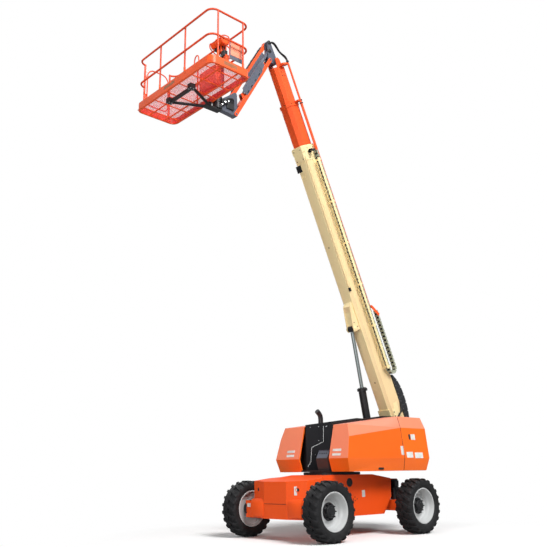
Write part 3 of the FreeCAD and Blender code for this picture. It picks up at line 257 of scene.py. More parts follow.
NODE_LOOKS = {
    "orange": ("hood_", "rear_cover_"),
    "red_orange": ("chassis_frame", "steer_axle", "drive_axle"),
    "boom_orange": (
        "boom_mid", "boom_fly", "mid_tube", "fly_tube", "jib_lower_arm", "jib_upper_arm",
        "platform_floor",
    ),
    "rail": ("rail_", "entry_gate"),
    "cream": ("boom_base", "lift_bracket", "chain_tray"),
    "black": (
        "platform_support", "inner_wall_", "turntable_frame", "slew_ring", "lift_barrel",
        "rotator",
    ),
    "grey": ("jib_knuckle", "jib_barrel", "jib_guard", "jib_end_link"),
    "valve": ("valve_box",),
    "rim": ("wheel_",),
    "tyre": ("tyre_",),
    "iron": ("counterweight", "engine_block", "steer_knuckle_"),
    "chrome": ("lift_rod", "jib_rod"),
    "steel": ("exhaust_pipe",),
    "chain": ("energy_chain",),
    "plastic": ("hose_cover", "control_console"),
}


def look_of(name):
    for look, starts in NODE_LOOKS.items():
        if name.startswith(starts):
            return look
    return "black"


SOFT_EDGES = {
    "chassis_frame": 0.036, "hood_": 0.010, "rear_cover_": 0.010, "counterweight": 0.020,
    "valve_box": 0.006, "platform_support": 0.004, "jib_end_link": 0.004, "jib_knuckle": 0.004,
    "lift_bracket": 0.003, "jib_guard": 0.003, "drive_axle": 0.008, "steer_axle": 0.008,
    "turntable_frame": 0.004, "jib_lower_arm": 0.003, "jib_upper_arm": 0.003,
}


def dress_nodes():
    """Give every carried-over CAD node its finish and soft edges."""
    for name, item in frame["nodes"].items():
        item.data.materials.clear()
        item.data.materials.append(M[look_of(name)])
        for start, width in SOFT_EDGES.items():
            if name.startswith(start):
                weld = item.modifiers.new("weld", "WELD")
                weld.merge_threshold = 0.0002
                soften(item, width)


# --- mesh helpers --------------------------------------------------------------------------

# Edges that turn by less than this many degrees are shaded smooth.
ROUND = 35


def piece(name, mesh, look, body, matrix=FLAT, bevel=0.0, smooth=None):
    """A finished mesh in its frame, riding on a body."""
    data = bpy.data.meshes.new(name)
    mesh.normal_update()
    mesh.to_mesh(data)
    mesh.free()
    data.transform(matrix)
    item = bpy.data.objects.new(name, data)
    bpy.context.scene.collection.objects.link(item)
    data.materials.append(M[look] if isinstance(look, str) else look)
    if bevel:
        soften(item, bevel)
    if smooth is not None:
        data.shade_smooth()
        edges = item.modifiers.new("edges", "EDGE_SPLIT")
        edges.split_angle = math.radians(smooth)
    if body:
        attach(item, body)
    return item


def soften(item, width, segments=2):
    bevel = item.modifiers.new("soft_edges", "BEVEL")
    bevel.width = width
    bevel.segments = segments
    bevel.limit_method = "ANGLE"
    bevel.harden_normals = False
    return bevel


def add_prism(mesh, outline, start, end, axis="z"):
    """Fill an outline and carry it along an axis. Points are the other two axes, in order."""
    order = {"x": (1, 2, 0), "y": (0, 2, 1), "z": (0, 1, 2)}[axis]
    rings = []
    for level in (start, end):
        ring = []
        for a, b in outline:
            co = [0, 0, 0]
            co[order[0]], co[order[1]], co[order[2]] = a, b, level
            ring.append(mesh.verts.new(co))
        rings.append(ring)
    count = len(outline)
    mesh.faces.new(rings[0])
    mesh.faces.new(list(reversed(rings[1])))
    for i in range(count):
        j = (i + 1) % count
        mesh.faces.new((rings[0][j], rings[0][i], rings[1][i], rings[1][j]))
    bmesh.ops.recalc_face_normals(mesh, faces=mesh.faces)
    return rings


def add_box(mesh, low, high):
    outline = [(low[0], low[1]), (high[0], low[1]), (high[0], high[1]), (low[0], high[1])]
    return add_prism(mesh, outline, low[2], high[2])


def add_lathe(mesh, profile, matrix=FLAT, steps=48):
    """Turn a profile of (radius, height) about Z."""
    rings = []
    for radius, height in profile:
        if radius < 1e-6:
            rings.append([mesh.verts.new(matrix @ Vector((0, 0, height)))])
            continue
        rings.append(
            [
                mesh.verts.new(
                    matrix
                    @ Vector(
                        (
                            radius * math.cos(2 * math.pi * i / steps),
                            radius * math.sin(2 * math.pi * i / steps),
                            height,
                        )
                    )
                )
                for i in range(steps)
            ]
        )
    for lower, upper in zip(rings, rings[1:]):
        for i in range(steps):
            j = (i + 1) % steps
            corners = [lower[i % len(lower)], lower[j % len(lower)]]
            corners += [upper[j % len(upper)], upper[i % len(upper)]]
            unique = list(dict.fromkeys(corners))
            if len(unique) > 2:
                mesh.faces.new(unique)
    return rings


def turned_about(axis, origin):
    """A matrix whose Z is the given axis."""
    matrix = Vector(axis).to_track_quat("Z", "Y").to_matrix().to_4x4()
    matrix.translation = origin
    return matrix


def add_bolt(mesh, place, axis, radius=0.012, height=0.010):
    """A hexagon head on a washer."""
    matrix = turned_about(axis, place)
    washer = [(0, 0), (radius * 1.35, 0), (radius * 1.35, height * 0.25), (0, height * 0.25)]
    add_lathe(mesh, washer, matrix, 16)
    head = [
        (0, height * 0.25), (radius, height * 0.25), (radius, height * 0.9),
        (radius * 0.85, height), (0, height),
    ]
    add_lathe(mesh, head, matrix, 6)


def lathe_piece(name, shape, *look, **finish):
    """A piece of one turned shape: its profile, its matrix and its steps."""
    mesh = bmesh.new()
    add_lathe(mesh, *shape)
    return piece(name, mesh, *look, **finish)


def box_piece(name, corners, *look, **finish):
    """A piece of one box between two corners."""
    mesh = bmesh.new()
    add_box(mesh, *corners)
    return piece(name, mesh, *look, **finish)


def absorb(mesh, part, matrix=None):
    """Move a small bmesh into place, add it to a larger one and free it."""
    if matrix is not None:
        part.transform(matrix)
    data = bpy.data.meshes.new("part")
    part.to_mesh(data)
    mesh.from_mesh(data)
    bpy.data.meshes.remove(data)
    part.free()


def steps_from(start, *steps):
    """A start and the points at given steps from it."""
    return [start] + [start + Vector(step) for step in steps]


def turns(count, offset=0.0):
    """Angles in radians, evenly spaced round a circle."""
    return [2 * math.pi * (i + offset) / count for i in range(count)]


def bolts(name, places, axis, look, body, matrix=FLAT, radius=0.012, height=0.010):
    mesh = bmesh.new()
    for place in places:
        add_bolt(mesh, Vector(place), axis, radius, height)
    return piece(name, mesh, look, body, matrix)


def tube(name, points, radius, look, body, matrix=FLAT, resolution=6, kind="NURBS", cyclic=False):
    """A round bar or hose along points, as a curve."""
    curve = bpy.data.curves.new(name, "CURVE")
    curve.dimensions = "3D"
    curve.bevel_depth = radius
    curve.bevel_resolution = 4
    curve.resolution_u = resolution
    curve.use_fill_caps = True
    spline = curve.splines.new(kind)
    spline.points.add(len(points) - 1)
    for control, point in zip(spline.points, points):
        control.co = (*(matrix @ Vector(point)), 1)
    if kind == "NURBS":
        spline.use_endpoint_u = not cyclic
        spline.order_u = 4
    spline.use_cyclic_u = cyclic
    item = bpy.data.objects.new(name, curve)
    bpy.context.scene.collection.objects.link(item)
    curve.materials.append(M[look])
    if body:
        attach(item, body)
    return item


def bending_tube(name, points, radius, look):
    """A hose across one joint, baked into a mesh where it lies; it is attached to neither body."""
    curve = tube(name + "_curve", points, radius, look, None)
    bpy.context.view_layer.update()
    shape = bpy.data.meshes.new_from_object(
        curve.evaluated_get(bpy.context.evaluated_depsgraph_get())
    )
    bpy.data.objects.remove(curve)
    item = bpy.data.objects.new(name, shape)
    bpy.context.scene.collection.objects.link(item)
    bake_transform(item)
    return item


dress_nodes()


# --- tyres ---------------------------------------------------------------------------------

def tyre_tread(name, node, body):
    """Deep traction lugs on a tyre, in two rows of angled bars that meet near the middle."""
    low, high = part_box(node)
    centre = (low + high) / 2
    radius = (high.z - low.z) / 2
    half = (high.y - low.y) / 2
    mesh = bmesh.new()
    carcass = radius - 0.034
    profile = [
        (0.318, -0.140), (0.338, -0.146), (0.352, -0.158), (0.372, -0.166), (0.420, -0.1725),
        (0.447, -0.1715), (carcass - 0.008, -0.160), (carcass, -0.120), (carcass + 0.006, -0.060),
        (carcass + 0.008, 0.0),
    ]
    profile = [(r, h * half / 0.1775) for r, h in profile]
    profile += [(r, -h) for r, h in reversed(profile[:-1])]
    matrix = turned_about(Y, centre)
    add_lathe(mesh, profile, matrix, 96)
    count = 22
    for row in (-1, 1):
        for i in range(count):
            turn = 2 * math.pi * (i + (0.5 if row > 0 else 0.0)) / count
            add_lug(mesh, matrix, turn, row, carcass, radius, half)
    item = piece(name, mesh, "tyre", body, smooth=38)
    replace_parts(item, node)
    return item


def add_lug(mesh, matrix, turn, row, carcass, radius, half):
    """One bar: it runs from the middle out over the shoulder, swept back as it goes."""
    stations = [
        # across, swept angle, width angle, outer radius
        (-0.10, 0.000, 0.110, radius),
        (0.22, 0.045, 0.112, radius),
        (0.55, 0.125, 0.098, radius - 0.001),
        (0.84, 0.165, 0.108, radius - 0.006),
        (0.975, 0.175, 0.118, radius - 0.030),
        (1.0, 0.177, 0.112, radius - 0.068),
    ]
    rows = []
    for across, sweep, width, outer in stations:
        y = row * across * half
        inner = carcass - 0.012 if across < 0.9 else outer - 0.030
        inner_y = y if across < 0.9 else row * (across * half - 0.022)
        ring = []
        for angle, r, place in (
            (-width * 0.58, inner, inner_y), (-width * 0.42, outer, y),
            (width * 0.42, outer, y), (width * 0.58, inner, inner_y),
        ):
            a = turn + row * sweep + angle
            ring.append(mesh.verts.new(matrix @ Vector((r * math.cos(a), r * math.sin(a), place))))
        rows.append(ring)
    for first, second in zip(rows, rows[1:]):
        for k in range(3):
            face = (first[k], first[k + 1], second[k + 1], second[k])
            mesh.faces.new(face if row < 0 else tuple(reversed(face)))
    for end, flip in ((rows[0], row < 0), (rows[-1], row > 0)):
        mesh.faces.new(tuple(reversed(end)) if flip else tuple(end))


# --- wheels --------------------------------------------------------------------------------

WHEEL_STUDS = 9
STUD_CIRCLE = 0.127
HUB_BOLTS = 8
HUB_BOLT_CIRCLE = 0.083


def wheel_details(end, side_name, side):
    """The rim's lips and gutters, its hub, and the studs round it."""
    node = f"wheel_{end}_{side_name}"
    body = f"{end}_wheel_{side_name}"
    low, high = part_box(node)
    centre = (low + high) / 2
    centre.y = joint_point(f"{body}_turn").y
    matrix = turned_about(Y * side, centre)
    half = 0.142
    mesh = bmesh.new()
    rim = [
        (0.150, -0.002), (0.166, -0.003), (0.196, -0.0255), (0.228, -0.028), (0.252, -0.020),
        (0.262, 0.004), (0.268, 0.030), (0.280, 0.044), (0.288, 0.062), (0.291, 0.096),
        (0.299, 0.118), (0.305, half), (0.316, half + 0.005), (0.327, half + 0.002),
        (0.3285, half - 0.006), (0.320, half - 0.010),
    ]
    add_lathe(mesh, rim, matrix, 80)
    back = [
        (0.3285, -half + 0.006), (0.327, -half - 0.002), (0.316, -half - 0.005),
        (0.303, -half), (0.300, -0.100), (0.296, -0.055), (0.196, -0.047), (0.0, -0.047),
    ]
    add_lathe(mesh, back, matrix, 80)
    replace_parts(piece(f"{node}_rim", mesh, "rim", body, smooth=32), node)
    mesh = bmesh.new()
    hub = [
        (0.152, -0.001), (0.152, 0.006), (0.146, 0.010), (0.112, 0.012), (0.104, 0.018),
        (0.101, 0.052), (0.094, 0.061), (0.070, 0.066), (0.064, 0.078), (0.060, 0.088),
        (0.050, 0.0905), (0.0, 0.0905),
    ]
    add_lathe(mesh, hub, matrix, 48)
    for a in turns(WHEEL_STUDS):
        place = matrix @ Vector((STUD_CIRCLE * math.cos(a), STUD_CIRCLE * math.sin(a), 0.010))
        axis = Y * side
        stud = turned_about(axis, place)
        nut = [
            (0, 0), (0.019, 0), (0.019, 0.006), (0.0165, 0.009), (0.0165, 0.024), (0.013, 0.029),
            (0, 0.029),
        ]
        add_lathe(mesh, nut, stud, 6)
        tip = [(0.0095, 0.027), (0.0095, 0.046), (0.007, 0.049), (0, 0.049)]
        add_lathe(mesh, tip, stud, 10)
    for a in turns(HUB_BOLTS, 0.5):
        across = Vector((HUB_BOLT_CIRCLE * math.cos(a), HUB_BOLT_CIRCLE * math.sin(a), 0.0635))
        place = matrix @ across
        add_bolt(mesh, place, Y * side, 0.0075, 0.008)
    return piece(f"{node}_hub", mesh, "iron", body, smooth=32)


for end in ("drive", "steer"):
    for side_name, side in (("left", 1), ("right", -1)):
        body = f"{end}_wheel_{side_name}"
        tyre_tread(f"tread_{end}_{side_name}", f"tyre_{end}_{side_name}", body)
        wheel_details(end, side_name, side)


# --- finding surfaces ----------------------------------------------------------------------

TREES = {}


def surface(node, start, direction):
    """Where a line first meets a node, with the surface's outward normal."""
    if node not in TREES:
        data = frame["nodes"][node].data
        TREES[node] = BVHTree.FromPolygons(
            [v.co for v in data.vertices], [p.vertices[:] for p in data.polygons]
        )
    direction = Vector(direction).normalized()
    place, normal = TREES[node].ray_cast(Vector(start), direction)[:2]
    if normal.dot(direction) > 0:
        normal = -normal
    return place, normal


def on_surface(node, start, direction, up=Z):
    """A matrix on a node's surface: X across, Y up and Z out of it."""
    place, normal = surface(node, start, direction)
    across = Vector(up).cross(normal).normalized()
    matrix = Matrix((across, normal.cross(across), normal)).transposed().to_4x4()
    matrix.translation = place
    return matrix


def rounded(width, height, radius, steps=4):
    """A rectangle with rounded corners, centred on the origin."""
    points = []
    for cx, cy, first in ((1, 1, 0), (-1, 1, 90), (-1, -1, 180), (1, -1, 270)):
        for i in range(steps + 1):
            a = math.radians(first + 90 * i / steps)
            points.append(
                (
                    cx * (width / 2 - radius) + radius * math.cos(a),
                    cy * (height / 2 - radius) + radius * math.sin(a),
                )
            )
    return points


def plate_on(name, node, start, direction, size, look, body, stand=0.0025, radius=0.008, up=Z):
    """A thin plate stuck to a node's surface."""
    mesh = bmesh.new()
    add_prism(mesh, rounded(size[0], size[1], radius), -0.001, stand)
    return piece(name, mesh, look, body, on_surface(node, start, direction, up))


# --- chassis -------------------------------------------------------------------------------

# The middle of the side holes, along and up, read off the photograph. Each hole is drawn as a flat
# black disc, painted shade for its dark inside; the CAD has a smaller real recess behind each disc.
SIDE_HOLE = (-0.675, 0.96)
RING_TEETH = 90


def chassis_details():
    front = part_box("chassis_frame")[1].x
    body = "chassis"
    for i, (start, direction, size) in enumerate(
        (
            ((3, 0.479, 0.842), (-1, 0, 0), (0.058, 0.15)),
            ((-1.056, 3, 0.751), (0, -1, 0), (0.085, 0.125)),
            ((-1.056, -3, 0.751), (0, 1, 0), (0.085, 0.125)),
        )
    ):
        plate_on(f"chassis_plate_{i}", "chassis_frame", start, direction, size, "label", body)
    for sign in (1, -1):
        hole = on_surface("chassis_frame", (3, sign * 0.52, 0.86), (-1, 0, 0))
        mesh = bmesh.new()
        ring = [(0.030, 0.0), (0.034, 0.004), (0.046, 0.004), (0.048, 0.0)]
        add_lathe(mesh, ring, hole, 32)
        piece(f"tie_ring_{sign}", mesh, "red_orange", body, smooth=30)
        # A flat black disc in the ring: painted shade for the hole's dark inside.
        lathe_piece(
            f"tie_hole_shade_{sign}", ([(0.0, 0.0015), (0.0305, 0.0015), (0.031, 0.0)], hole, 32),
            "black", body,
        )
        wall = surface("chassis_frame", (-0.85, sign * 3, SIDE_HOLE[1]), (0, -sign, 0))[0].y
        side_hole_shade = turned_about((0, sign, 0), Vector((SIDE_HOLE[0], wall, SIDE_HOLE[1])))
        # A flat black disc with a lip: painted shade for the side hole's dark inside.
        mesh = bmesh.new()
        add_lathe(
            mesh, [(0.0, 0.002), (0.070, 0.002), (0.073, 0.005), (0.078, 0.004), (0.080, -0.002)],
            side_hole_shade, 40,
        )
        piece(f"side_hole_shade_{sign}", mesh, "black", body)
    box_piece(
        "front_seam", ((front - 0.002, -0.29, 0.612), (front + 0.004, 0.29, 0.619)), "iron", body,
    )
    fairing = [
        (0.50, 0.385), (front + 0.006, 0.385), (front + 0.006, 0.62), (front - 0.022, 0.70),
        (0.50, 0.70),
    ]
    for sign in (1, -1):
        mesh = bmesh.new()
        add_prism(mesh, fairing, sign * 0.315, sign * 0.665, "y")
        piece(f"axle_fairing_{sign}", mesh, "red_orange", body, bevel=0.022, smooth=30)
    plate_on(
        "axle_plate", "drive_axle", (3, -0.869, 0.575), (-1, 0, 0), (0.09, 0.07), "label", body,
    )
    dots = [(-0.87, 0.66), (-0.81, 0.695), (-0.76, 0.66), (-0.81, 0.63)]
    for sign in (1, -1):
        places = [surface("chassis_frame", (x, sign * 2, z), (0, -sign, 0))[0] for x, z in dots]
        bolts(f"side_bolts_{sign}", places, (0, sign, 0), "iron", body, FLAT, 0.008, 0.006)
    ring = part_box("slew_ring")
    centre = (ring[0] + ring[1]) / 2
    radius = (ring[1].x - ring[0].x) / 2
    mesh = bmesh.new()
    for a in turns(RING_TEETH):
        turn = Matrix.Translation(centre) @ Matrix.Rotation(a, 4, "Z")
        outline = [
            (radius - 0.006, -0.011), (radius + 0.008, -0.006), (radius + 0.008, 0.006),
            (radius - 0.006, 0.011),
        ]
        tooth = bmesh.new()
        add_prism(tooth, outline, -0.017, 0.017)
        absorb(mesh, tooth, turn)
    piece("ring_teeth", mesh, "iron", body)


def hub_and_steering():
    """What turns behind each wheel: drive hubs in front, steering gear behind."""
    for sign in (1, -1):
        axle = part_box("drive_axle")
        centre = (axle[0] + axle[1]) / 2
        mesh = bmesh.new()
        profile = [
            (0.150, 0.0), (0.155, 0.006), (0.155, 0.030), (0.138, 0.036), (0.134, 0.100),
            (0.131, 0.104),
        ]
        matrix = turned_about((0, sign, 0), Vector((centre.x, sign * 0.925, centre.z)))
        add_lathe(mesh, profile, matrix, 40)
        for a in turns(12):
            place = matrix @ Vector((0.146 * math.cos(a), 0.146 * math.sin(a), 0.030))
            add_bolt(mesh, place, (0, sign, 0), 0.007, 0.008)
        piece(f"drive_hub_{sign}", mesh, "iron", "chassis", smooth=ROUND)
        start = Vector((centre.x - 0.10, sign * 0.66, centre.z + 0.16))
        for k in (0, 1):
            a = start + Vector((0.03 * k, 0, 0))
            tube(
                f"drive_hose_{sign}_{k}",
                steps_from(
                    a, (0, sign * 0.06, 0.05), (0, sign * 0.17, 0.06), (0, sign * 0.24, 0.01),
                    (0, sign * 0.25, -0.02),
                ),
                0.010, "hose", "chassis",
            )
    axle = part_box("steer_axle")
    centre = (axle[0] + axle[1]) / 2
    z = joint_point("steer_left").z
    mesh = bmesh.new()
    cylinder = Vector((axle[0].x - 0.055, 0, z + 0.02))
    barrel = [
        (0.0, -0.30), (0.040, -0.30), (0.042, -0.295), (0.042, -0.26), (0.034, -0.255),
        (0.034, 0.255), (0.042, 0.26), (0.042, 0.295), (0.040, 0.30), (0.0, 0.30),
    ]
    add_lathe(mesh, barrel, turned_about(Y, cylinder), 24)
    piece("steer_cylinder", mesh, "black", "chassis", smooth=ROUND)
    mesh = bmesh.new()
    for sign in (1, -1):
        rod = [
            (0.0, 0.29), (0.018, 0.29), (0.018, 0.50), (0.026, 0.505), (0.026, 0.55), (0.0, 0.55),
        ]
        add_lathe(mesh, rod, turned_about((0, sign, 0), cylinder), 20)
    piece("steer_rods", mesh, "steel", "chassis", smooth=ROUND)
    mesh = bmesh.new()
    for sign in (1, -1):
        add_box(
            mesh, (axle[0].x - 0.10, sign * 0.18 - 0.012, z - 0.06),
            (axle[0].x + 0.06, sign * 0.18 + 0.012, z + 0.10),
        )
        add_box(
            mesh, (axle[0].x - 0.02, sign * 0.40 - 0.03, z + 0.08),
            (axle[0].x + 0.05, sign * 0.40 + 0.03, z + 0.30),
        )
    piece("steer_brackets", mesh, "black", "chassis", bevel=0.003)
    for sign in (1, -1):
        for k in range(3):
            a = Vector((axle[0].x + 0.03 - 0.02 * k, sign * (0.30 + 0.03 * k), z + 0.33))
            tube(
                f"steer_hose_{sign}_{k}",
                steps_from(
                    a, (-0.03, 0, 0.04), (-0.10, -sign * 0.02, -0.02),
                    (-0.11, -sign * 0.06, -0.18), (-0.085, -sign * 0.10, -0.27),
                ),
                0.011, "hose", "chassis",
            )
    tail_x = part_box("chassis_frame")[0].x
    mesh = bmesh.new()
    for sign in (1, -1):
        spot = surface("chassis_frame", (tail_x + 0.16, sign * 3, 0.80), (0, -sign, 0))[0]
        y = (spot.y - sign * 0.004, spot.y + sign * 0.022, spot.y + sign * 0.075)
        low, high = sorted((y[0], y[1]))
        add_box(mesh, (tail_x + 0.01, low, 0.56), (tail_x + 0.20, high, 0.99))
        low, high = sorted((y[0], y[2]))
        add_box(mesh, (tail_x + 0.05, low, 0.86), (tail_x + 0.17, high, 0.965))
        add_box(mesh, (tail_x + 0.03, low, 0.60), (tail_x + 0.09, high, 0.72))
        for i in range(3):
            add_bolt(
                mesh, Vector((tail_x + 0.03 + 0.07 * i, y[1], 0.76)), (0, sign, 0), 0.012, 0.012,
            )
        for k in range(4):
            a = Vector((tail_x + 0.07 + 0.03 * k, y[1] + sign * 0.02, 0.87))
            tube(
                f"tail_hose_{sign}_{k}",
                steps_from(
                    a, (-0.01, sign * 0.035, -0.03), (0.0, sign * 0.04, -0.12),
                    (-0.02, sign * 0.03, -0.22), (-0.05, 0, -0.26),
                ),
                0.012, "hose", "chassis",
            )
    piece("tail_brackets", mesh, "black", "chassis", bevel=0.003)


chassis_details()
hub_and_steering()


# --- hoods and turntable -------------------------------------------------------------------

SEAM_RADIUS = 0.0045


def hood_details():
    for side_name, sign in (("left", 1), ("right", -1)):
        node, body = f"hood_{side_name}", f"hood_{side_name}"
        low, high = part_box(node)
        inner = min(abs(low.y), abs(high.y))
        outer = max(abs(low.y), abs(high.y))
        front_y = sign * (inner + 0.42 * (outer - inner))
        seam = []
        cover_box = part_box(f"rear_cover_{side_name}")
        for step in range(25):
            z = cover_box[0].z + 0.012 + (cover_box[1].z - cover_box[0].z - 0.03) * step / 24
            place, normal = surface(node, (low.x + 0.004, sign * 3, z), (0, -sign, 0))
            seam.append(place + normal * 0.0005)
        tube(f"{node}_seam", seam, SEAM_RADIUS, "seal", body, kind="POLY")
        for i, drop in enumerate((0.0, -0.080)):
            plate_on(
                f"{node}_front_plate_{i}", node, (3, front_y, low.z + 0.385 + drop), (-1, 0, 0),
                (0.21, 0.045), "label", body, radius=0.004,
            )
        plate_on(
            f"{node}_side_plate", node, (low.x + 0.045, sign * 3, low.z + 0.38), (0, -sign, 0),
            (0.085, 0.17), "label", body,
        )
        handle = on_surface(node, (low.x + 0.70, sign * 3, low.z + 0.046), (0, -sign, 0))
        mesh = bmesh.new()
        add_prism(mesh, rounded(0.15, 0.042, 0.018), -0.001, 0.008)
        piece(f"{node}_handle_cup", mesh, "plastic", body, handle, bevel=0.003)
        mesh = bmesh.new()
        add_prism(mesh, rounded(0.10, 0.016, 0.007), 0.006, 0.020)
        piece(f"{node}_handle", mesh, "black", body, handle, bevel=0.003)
        cover = f"rear_cover_{side_name}"
        box_low, box_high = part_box(cover)
        plate_on(
            f"{cover}_plate_0", cover, (box_high.x - 0.35, sign * 3, box_low.z + 0.645), (
                0, -sign, 0,
            ),
            (0.13, 0.11), "label", "turntable",
        )
        plate_on(
            f"{cover}_plate_1", cover, (box_high.x - 0.17, sign * 3, box_low.z + 0.30), (
                0, -sign, 0,
            ),
            (0.20, 0.11), "label", "turntable",
        )
        plate_on(
            f"{cover}_plate_2", cover, (box_high.x - 0.46, sign * 3, box_low.z + 0.29), (
                0, -sign, 0,
            ),
            (0.26, 0.11), "label", "turntable",
        )
        latch = on_surface(cover, (box_high.x - 0.235, sign * 3, box_low.z + 0.645), (0, -sign, 0))
        mesh = bmesh.new()
        add_prism(mesh, rounded(0.05, 0.10, 0.012), -0.001, 0.010)
        piece(f"{cover}_latch", mesh, "plastic", "turntable", latch, bevel=0.003)
        mesh = bmesh.new()
        vents = 7
        for i in range(vents):
            start = (box_low.x + 0.22, sign * 3, box_low.z + 0.50 + 0.035 * i)
            place = on_surface(cover, start, (0, -sign, 0))
            slat = bmesh.new()
            add_prism(slat, rounded(0.26, 0.014, 0.006), -0.001, 0.005)
            absorb(mesh, slat, place)
        if sign < 0:
            piece(f"{cover}_slats", mesh, "black", "turntable")
        else:
            mesh.free()


def wall_details():
    """Seams and bolts on the inner walls between the hoods."""
    for side_name, sign in (("left", 1), ("right", -1)):
        node = f"inner_wall_{side_name}"
        low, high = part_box(node)
        faces = sorted((abs(low.y), abs(high.y)))
        inner = sign * faces[0]
        face_y = inner - sign * 0.001
        seam = ((-0.485, 0.85), (-0.470, 0.543), (-0.138, 0.427), (-0.103, 0.159), (-0.02, 0.066))
        points = [(high.x + x, face_y - sign * 0.003, low.z + z) for x, z in seam]
        tube(f"{node}_seam", points, SEAM_RADIUS, "rim", "turntable", kind="POLY")
        x1 = high.x - 0.05
        places = [(x1 - 0.06 - 0.24 * i, face_y, 2.0 + 0.02 * i) for i in range(4)]
        places += [(x1 - 0.30, face_y, 1.75), (x1 - 0.18, face_y, 1.48)]
        bolts(f"{node}_bolts", places, (0, -sign, 0), "steel", "turntable", FLAT, 0.008, 0.006)


def valve_details():
    low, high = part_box("valve_box")
    mesh = bmesh.new()
    top = on_surface(
        "valve_box", ((low.x + high.x) / 2 - 0.04, (low.y + high.y) / 2, 3), (0, 0, -1), X,
    )
    add_prism(mesh, rounded(high.y - low.y + 0.012, high.x - low.x - 0.08, 0.015), 0.0, 0.012)
    piece("valve_lid", mesh, "grey", "turntable", top, bevel=0.003)
    front = on_surface("valve_box", (3, (low.y + high.y) / 2, high.z - 0.07), (-1, 0, 0))
    mesh = bmesh.new()
    add_prism(mesh, rounded(high.y - low.y - 0.01, 0.15, 0.01), 0.0, 0.004)
    piece("valve_front", mesh, "grey", "turntable", front, bevel=0.002)
    knobs = bmesh.new()
    for i in range(4):
        knob = on_surface("valve_box", (3, low.y + 0.06 + 0.055 * i, high.z - 0.05), (-1, 0, 0))
        add_lathe(knobs, [(0.012, 0.003), (0.012, 0.012), (0.009, 0.016), (0.0, 0.016)], knob, 16)
    piece("valve_knobs", knobs, "plastic", "turntable", smooth=ROUND)


STACK_RADIUS = 0.052  # as it looks in the photograph; the CAD's pipe is thinner
PIPE_RADIUS = 0.034


def exhaust():
    """A bent stack with a flange at the hood."""
    low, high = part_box("exhaust_pipe")
    y = (low.y + high.y) / 2
    x = low.x + PIPE_RADIUS
    foot = surface("hood_right", (x + 0.06, y, 4), (0, 0, -1))[0].z
    top = high.z - 0.012
    path = [
        (x, y, foot + 0.012), (x, y, foot + 0.07), (x, y, foot + 0.13),
        (x + 0.016, y, foot + 0.19), (x + 0.06, y, top - 0.035), (x + 0.105, y, top),
    ]
    item = tube("exhaust_stack", path, STACK_RADIUS, "black", "hood_right")
    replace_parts(item, "exhaust_pipe")
    mesh = bmesh.new()
    flange = [
        (0.056, -0.004), (0.088, -0.004), (0.088, 0.008), (0.062, 0.010), (0.060, 0.026),
        (0.056, 0.026),
    ]
    normal = surface("hood_right", (x + 0.06, y, 4), (0, 0, -1))[1]
    add_lathe(mesh, flange, turned_about(normal, Vector((x, y, foot + 0.003))), 32)
    piece("exhaust_flange", mesh, "black", "hood_right", smooth=ROUND)


PIVOT_CAP_Y = 0.2435


def tower_details():
    pivot = joint_point("luff")
    for sign in (1, -1):
        mesh = bmesh.new()
        profile = [
            (0.0, 0.004), (0.036, 0.004), (0.040, 0.0), (0.066, 0.0), (0.066, -0.008),
            (0.0, -0.008),
        ]
        place = Vector((pivot.x, sign * PIVOT_CAP_Y, pivot.z))
        add_lathe(
            mesh, [(r, h) for r, h in reversed(profile)], turned_about((0, sign, 0), place), 32,
        )
        for i in range(4):
            a = math.radians(45 + 90 * i)
            spot = place + Vector((0.053 * math.cos(a), 0, 0.053 * math.sin(a)))
            add_bolt(mesh, spot, (0, sign, 0), 0.007, 0.005)
        piece(f"pivot_cap_{sign}", mesh, "iron", "turntable", smooth=ROUND)
    for k in range(4):
        y = -0.075 + 0.05 * k
        tube(
            f"foot_hose_{k}",
            [(pivot.x - 0.18, y, pivot.z - 0.62), (pivot.x - 0.30, y, pivot.z - 0.40),
             (pivot.x - 0.30, y * 1.1, pivot.z - 0.12), (pivot.x - 0.27, y * 1.2, pivot.z + 0.02),
             (pivot.x - 0.215, y * 1.25, pivot.z + 0.06)],
            0.014, "hose", "turntable",
        )


hood_details()
wall_details()
valve_details()
exhaust()
tower_details()


# --- boom ----------------------------------------------------------------------------------

BASE = (0.175, 0.208)
MID = (0.152, 0.180)
FLY = (0.130, 0.154)
BEVEL = 0.055


